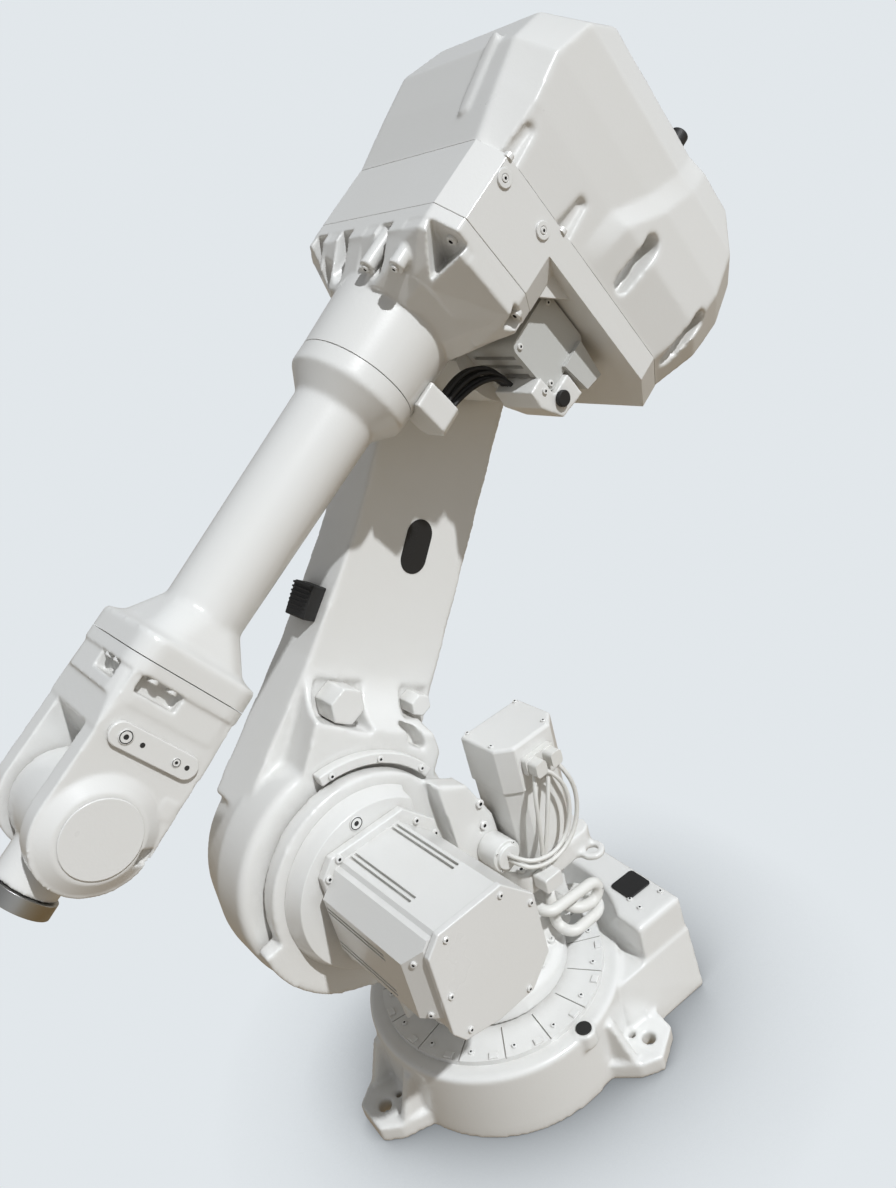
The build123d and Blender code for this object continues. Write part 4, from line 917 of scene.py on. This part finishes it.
SCREWS = {
    "base": [
        ("ring_cover", BASE, DOWN, 5, [(x, y, RING_TOP_Z) for x, y in circle(197, RING_COUNT, 19.5)]),
        ("base_casting", BASE, DOWN, 5,
         [(x, y, BLOCK_TOP_Z) for x, y in ((-304, 165), (-249, 165), (-252, 136))]),
        ("connector_panel", BASE, AHEAD, 5, [(-329, y, z) for y in (-152, 0, 152) for z in (46, 170)]),
    ],
    "turret": [
        ("axis_2_flange", TURRET, IN, 6.5, motor_2(FLANGE_SCREWS, MOTOR_2_FOOT_Y)),
        ("axis_2_motor_cover", TURRET, IN, 5, motor_2(COVER_SCREWS, MOTOR_2_END_Y)),
        ("axis_2_motor", TURRET, (-0.78, -0.625, 0), 5, [(270, 284, 583), (270, 284, 485)]),
        ("turret_casting", TURRET, IN, 8, [(-44, 46, 537), (-40, 46, 492)]),
        ("turret_casting", TURRET, DOWN, 8, [(x, y, 212) for x, y in circle(128, 14)]),
        ("turret_casting", TURRET, DOWN, 8, [(-58, 100, 400), (-58, -30, 400)]),
        ("side_cover", TURRET, IN, 3, [(x - 42, 92, z + 442) for x, z in circle(26.5, 4, 45)]),
        ("axis_1_motor_cap", TURRET, DOWN, 4.5,
         [(x, y, CAP_TOP_Z) for x, y in ((-200, 6), (-184, 96), (-86, 4), (-82, 72))]),
    ],
    "lower_arm": [
        ("stop_segment", LOWER, IN, 6, [(w, -5, s) for w, s in circle(194, 13, 55)[:3]]),
        ("lower_arm_casting", LOWER, IN, 8, [(2, -45, 260)]),
        ("hub_far_cap", LOWER, OUT, 7, [(w, -212, s) for w, s in circle(104, 8)]),
        ("arm_far_cover", LOWER, OUT, 5, [(w, -206, s) for w in (-78, 78) for s in (350, 480, 620, 748)]),
        ("elbow_far_cap", LOWER, OUT, 6, [(w, -210, s + ELBOW_S) for w, s in circle(76, 6)]),
    ],
    "upper_arm": [
        ("elbow_housing", FORE, IN, 5.5, [(-40, 178, 74), (-40, 178, -20)]),
        ("elbow_housing", FORE, AHEAD, 7.5, [(HOUSING_REAR, 174, 84), (HOUSING_REAR, 174, -50)]),
        (None, FORE, BACK, 8,
         [(POCKET_S, -118, 104), (POCKET_S, -46, 106), (POCKET_S, 54, 108), (POCKET_S, 158, 78),
          (POCKET_S, 164, -66)]),
        (None, FORE, BACK, 6, [(BOSS_END, y, n) for y, n in BOSSES]),
        ("axis_3_motor", FORE, IN, 5, [(-8, 128, -125), (76, 128, -125), (76, 128, -209)]),
        ("lead_bracket", FORE, IN, 5, [(98, 138, -200), (88, 138, -246)]),
    ],
    "forearm": [
        (None, FORE, BACK, 8, rim_bolts()),
    ],
}
FLUSH_SCREWS = {
    "turret": [("axis_2_ring", TURRET, IN, 12, [(183, 46, 654)])],
    "forearm": [
        ("wrist_plate", FORE, IN, 10, [(WRIST_PLATE_S, WRIST_PLATE_Y, 46)]),
        ("wrist_plate", FORE, IN, 6.5, [(WRIST_PLATE_S, WRIST_PLATE_Y, -34)]),
    ],
}
# Near-black discs on the wrist plate stand for two holes as painted shade.
HOLE_SHADE_DISCS = {
    "forearm": [("wrist_plate", FORE, IN, 3.5, [(WRIST_PLATE_S, WRIST_PLATE_Y, n) for n in (20, -52)])],
}
for suffix, source, table in (("screws", SCREW_HEAD, SCREWS), ("flush_screws", FLUSH_HEAD, FLUSH_SCREWS),
                              ("dark_holes", HOLE_SHADE_DISC, HOLE_SHADE_DISCS)):
    for body, groups in table.items():
        seats = [seat for group in groups for seat in seats_on(*group)]
        set_copies(body + "_" + suffix, seats, source, body, "white_paint")

# %% [markdown]
# The rubber stop on the front edge of the lower arm is a block with cross ribs. The oval plug in the
# arm's side has a fine field of moulded dots, and low pads stand round the ring of the base. All are
# short formulas for the same tree.

# %% Ribbed stop, dotted plug, ring pads and slot mark
STOP_S, STOP_W, STOP_Y, RIB_COUNT = (383, 442), 161, -146, 8
rib_seats = []
for rib in range(RIB_COUNT):
    s = STOP_S[0] + (rib + 0.5) * (STOP_S[1] - STOP_S[0]) / RIB_COUNT
    rib_seats.append((place(LOWER, STOP_W, STOP_Y, s), toward(LOWER, 1, 0, 0), toward(LOWER, 0, 1, 0), 1.0))
dress(round_edges(welded_copy("edge_bumper", "edge_bumper_piece"), 2.5), "edge_bumper")
set_copies("edge_bumper_ribs", rib_seats, RIB, "lower_arm", "black_rubber")

DOTS_FROM, PLUG_Y, DOT_STEP, DOT_R, DOT_COLUMNS, DOT_ROWS = (-2, 545), -92, 4.2, 1.1, 4, 8
dot_seats = [
    (place(LOWER, DOTS_FROM[0] + column * DOT_STEP, PLUG_Y, DOTS_FROM[1] + row * DOT_STEP),
     toward(LOWER, 0, 1, 0), toward(LOWER, 1, 0, 0), DOT_R)
    for column in range(DOT_COLUMNS) for row in range(column - DOT_ROWS, DOT_ROWS + 1 - column)
]
set_copies("oval_plug_dots", dot_seats, PLUG_DOT, "lower_arm", "black_rubber")

pad_seats = [
    (place(BASE, x, y, RING_TOP_Z), Vector((0, 0, 1)), Vector((x, y, 0)).normalized(), 1.0)
    for x, y in circle(207, RING_COUNT, 8.5)
]
set_copies("ring_pads", pad_seats, PAD, "base", "white_paint")
MARK_FROM, MARK_TO, MARK_Y = (34, 768), (4, 751), -93
mark_mid = [(a + b) / 2 for a, b in zip(MARK_FROM, MARK_TO)]
mark_along = toward(LOWER, MARK_TO[0] - MARK_FROM[0], 0, MARK_TO[1] - MARK_FROM[1])
mark_seat = (place(LOWER, mark_mid[0], MARK_Y, mark_mid[1]), toward(LOWER, 0, 1, 0), mark_along, 1.0)
set_copies("arm_slot_mark", [mark_seat], MARK, "lower_arm", "black_rubber")
for source in (SCREW_HEAD, FLUSH_HEAD, HOLE_SHADE_DISC, PLUG_DOT, RIB, PAD, MARK):
    bpy.data.objects.remove(source)

# %% [markdown]
# ## Cables
# Under the elbow a black bundle runs from the motor's bracket to the lead entry. It is not one thick
# cable but several thin ones side by side. Each strand is a NURBS curve through the same given
# route, shifted a little, so the strands lie close at the ends and fan out between. The motor's thin
# white leads hang in the same way from its two plugs.

# %% Strands
ROUTE = [(103, 70, -181), (103, 70, -145), (145, 50, -116), (195, 50, -116)]
STRANDS = [(0, 0), (8, 1), (4, 8), (-4, 7), (-8, 0), (-4, -8), (5, -7), (11, -9)]
SPREAD = (1.0, 1.5, 1.5, 1.0)
STRAND_R, LEAD_R = 3.6, 4.0
LEAD_ROUTES = {
    "lead_a": [
        [(-158, 126, 594), (-172, 139, 566), (-188, 139, 505), (-168, 139, 440), (-118, 139, 410),
         (-62, 139, 424), (-42, 122, 438), (-42, 97, 438)],
        [(-122, 126, 594), (-148, 139, 578), (-170, 139, 515), (-154, 139, 452), (-117, 139, 424),
         (-66, 139, 436), (-44, 118, 448), (-42, 97, 448)],
    ],
    "lead_b": [
        [(-118, 126, 590), (-100, 137, 560), (-93, 137, 495), (-86, 135, 430), (-84, 120, 388)],
        [(-152, 126, 590), (-128, 137, 545), (-106, 137, 477), (-88, 137, 430), (-84, 123, 386)],
    ],
}


def strand_curve(name, link, points, radius):
    """Round NURBS strand through points of a link's frame."""
    curve = bpy.data.curves.new(name, "CURVE")
    curve.dimensions = "3D"
    curve.bevel_depth = radius * MM
    curve.bevel_resolution = 3
    curve.resolution_u = 16
    curve.use_fill_caps = True
    spline = curve.splines.new("NURBS")
    spline.points.add(len(points) - 1)
    for control, point in zip(spline.points, points):
        control.co = (*place(link, *point), 1)
    spline.order_u = 3
    spline.use_endpoint_u = True
    return linked(name, curve)


def join_meshes(name, pieces):
    """One plain mesh from several objects, which are removed."""
    joined = bmesh.new()
    graph = bpy.context.evaluated_depsgraph_get()
    for piece in pieces:
        mesh = bpy.data.meshes.new_from_object(piece.evaluated_get(graph))
        joined.from_mesh(mesh)
        bpy.data.objects.remove(piece)
    bmesh.ops.recalc_face_normals(joined, faces=joined.faces)
    return plain_smooth(linked(name, mesh_of(joined, name)))


strands = []
for number, (across, up) in enumerate(STRANDS):
    points = [(s, y + across * k, n + up * k) for (s, y, n), k in zip(ROUTE, SPREAD)]
    strands.append(strand_curve("strand_%d" % number, FORE, points, STRAND_R))
dress(join_meshes("cable_bundle_piece", strands), "cable_bundle")
for node, routes in LEAD_ROUTES.items():
    strands = [strand_curve("%s_strand_%d" % (node, number), TURRET, points, LEAD_R)
               for number, points in enumerate(routes)]
    dress(join_meshes(node + "_piece", strands), node)
print("bundle of", len(STRANDS), "strands and", len(LEAD_ROUTES), "pairs of leads")

# %% [markdown]
# ## Camera
# The camera is where the photographer stood: above and beside the base, rolled a little. Its place
# and angles were solved from the base circle, the feet and the arm's axes.

# %% Camera
FRAME_W = 896
FOCAL_PX = 952.28
CAMERA_AT = (659.72, 1211.31, 1549.12)
CAMERA_YAW, CAMERA_PITCH, CAMERA_ROLL = (math.radians(a) for a in (-32.96, -24.21, -15.19))
SENSOR = 36.0


def camera_matrix():
    """Matrix of the camera in the row frame, from its place and angles in the turret's frame."""
    look = Vector((math.sin(CAMERA_YAW) * math.cos(CAMERA_PITCH),
                   -math.cos(CAMERA_YAW) * math.cos(CAMERA_PITCH), math.sin(CAMERA_PITCH)))
    level_right = look.cross(Vector((0, 0, 1))).normalized()
    level_up = level_right.cross(look)
    right = level_right * math.cos(CAMERA_ROLL) + level_up * math.sin(CAMERA_ROLL)
    up = level_up * math.cos(CAMERA_ROLL) - level_right * math.sin(CAMERA_ROLL)
    turned = Matrix((right, up, -look)).transposed().to_4x4()
    return TURRET @ Matrix.Translation(Vector(CAMERA_AT) * MM) @ turned


lens = bpy.data.cameras.new("photo_camera")
lens.sensor_fit = "HORIZONTAL"
lens.sensor_width = SENSOR
lens.lens = FOCAL_PX / FRAME_W * SENSOR
lens.clip_end = 200
camera = linked("photo_camera", lens)
camera.matrix_world = camera_matrix()
bpy.context.scene.camera = camera
print("lens", round(lens.lens, 2), "mm")

# %% [markdown]
# ## Studio
# A pale floor fades into an equally pale surround. One distant light stands high on the near side, in
# the direction that the shadows under the elbow give away. A soft sky over a dim warm ground fills the
# shadows. The floor glows by itself and only darkens where something stands close over it, which draws
# the soft contact shadow. Standard colour keeps the greys as set.

# %% Floor, surround and lights
bpy.context.scene.view_settings.view_transform = "Standard"
SURROUND = (0.76, 0.80, 0.83)
FLOOR_R = 9.0
FADE_FROM, FADE_TO = 1.6, 6.0
FLOOR_SHADE, SHADE_REACH, SHADE_POWER = (0.12, 0.13, 0.14), 0.36, 1.7
SKY = [(0.0, (0.21, 0.135, 0.055)), (0.40, (0.30, 0.262, 0.20)), (0.55, (0.45, 0.455, 0.46)),
       (0.75, (0.31, 0.315, 0.32)), (1.0, (0.12, 0.123, 0.126))]
KEY_FROM, KEY_STRENGTH, KEY_SPREAD, KEY_COLOUR = (-0.12, 0.60, 0.76), 2.8, 1.5, (0.95, 0.975, 1.0)


def make_floor():
    """Round pale floor whose material fades out with distance."""
    disc = bmesh.new()
    bmesh.ops.create_circle(disc, cap_ends=True, segments=96, radius=FLOOR_R)
    mesh = mesh_of(disc, "studio_floor")
    floor = linked("studio_floor", mesh)
    material = bpy.data.materials.new("studio_floor")
    material.use_nodes = True
    tree = material.node_tree
    shader = tree.nodes["Principled BSDF"]
    for label, value in (("Base Color", (0, 0, 0, 1)), ("Roughness", 1.0), ("Specular IOR Level", 0.0),
                         ("Emission Strength", 1.0)):
        shader.inputs[label].default_value = value
    occlusion = tree.nodes.new("ShaderNodeAmbientOcclusion")
    occlusion.samples = 16
    occlusion.inputs["Distance"].default_value = SHADE_REACH
    openness = add_math(tree, "POWER", occlusion.outputs["AO"], SHADE_POWER)
    tree.links.new(add_mix(tree, openness, FLOOR_SHADE, SURROUND), shader.inputs["Emission Color"])
    coords = tree.nodes.new("ShaderNodeTexCoord").outputs["Object"]
    distance = tree.nodes.new("ShaderNodeVectorMath")
    distance.operation = "LENGTH"
    tree.links.new(coords, distance.inputs[0])
    fade = tree.nodes.new("ShaderNodeMapRange")
    fade.interpolation_type = "SMOOTHSTEP"
    for label, value in (("From Min", FADE_FROM), ("From Max", FADE_TO), ("To Min", 1.0), ("To Max", 0.0)):
        fade.inputs[label].default_value = value
    tree.links.new(distance.outputs["Value"], fade.inputs["Value"])
    tree.links.new(fade.outputs["Result"], shader.inputs["Alpha"])
    mesh.materials.append(material)
    return floor


def make_surround():
    """World that looks like one pale backdrop and lights like a soft sky over a dim warm ground."""
    world = bpy.data.worlds.new("studio_surround")
    bpy.context.scene.world = world
    world.use_nodes = True
    tree = world.node_tree
    tree.nodes.clear()
    seen = add_node(tree, "ShaderNodeBackground", {"Color": SURROUND}, "Background")
    ramp = tree.nodes.new("ShaderNodeValToRGB")
    stops = ramp.color_ramp.elements
    for position, _ in SKY[1:-1]:
        stops.new(position)
    for stop, (position, colour) in zip(stops, SKY):
        stop.position = position
        stop.color = (*colour, 1)
    direction = tree.nodes.new("ShaderNodeTexCoord").outputs["Generated"]
    upward = add_node(tree, "ShaderNodeSeparateXYZ", {"Vector": direction}, "Z")
    height = add_node(tree, "ShaderNodeMapRange", {"Value": upward, "From Min": -1.0}, "Result")
    feed(tree, ramp.inputs["Fac"], height)
    light = add_node(tree, "ShaderNodeBackground", {"Color": ramp.outputs["Color"]}, "Background")
    path = tree.nodes.new("ShaderNodeLightPath")
    choose = tree.nodes.new("ShaderNodeMixShader")
    for socket, value in zip(choose.inputs, (path.outputs["Is Camera Ray"], light, seen)):
        feed(tree, socket, value)
    output = tree.nodes.new("ShaderNodeOutputWorld")
    feed(tree, output.inputs["Surface"], choose.outputs["Shader"])


def far_light(name, toward_light, strength, spread, colour):
    """Distant light from a direction of the turret's frame."""
    lamp = bpy.data.lights.new(name, "SUN")
    lamp.energy = strength
    lamp.angle = math.radians(spread)
    lamp.color = colour
    light = linked(name, lamp)
    light.rotation_euler = toward(TURRET, *toward_light).to_track_quat("Z", "Y").to_euler()
    return light


def spare_floor(light, floor):
    """Keep a light off the floor."""
    spared = bpy.data.collections.new(light.name + "_spared")
    spared.objects.link(floor)
    light.light_linking.receiver_collection = spared
    spared.collection_objects[0].light_linking.link_state = "EXCLUDE"


floor = make_floor()
floor.visible_diffuse = False
floor.visible_glossy = False
make_surround()
key = far_light("key_light", KEY_FROM, KEY_STRENGTH, KEY_SPREAD, KEY_COLOUR)
spare_floor(key, floor)
print("studio ready")
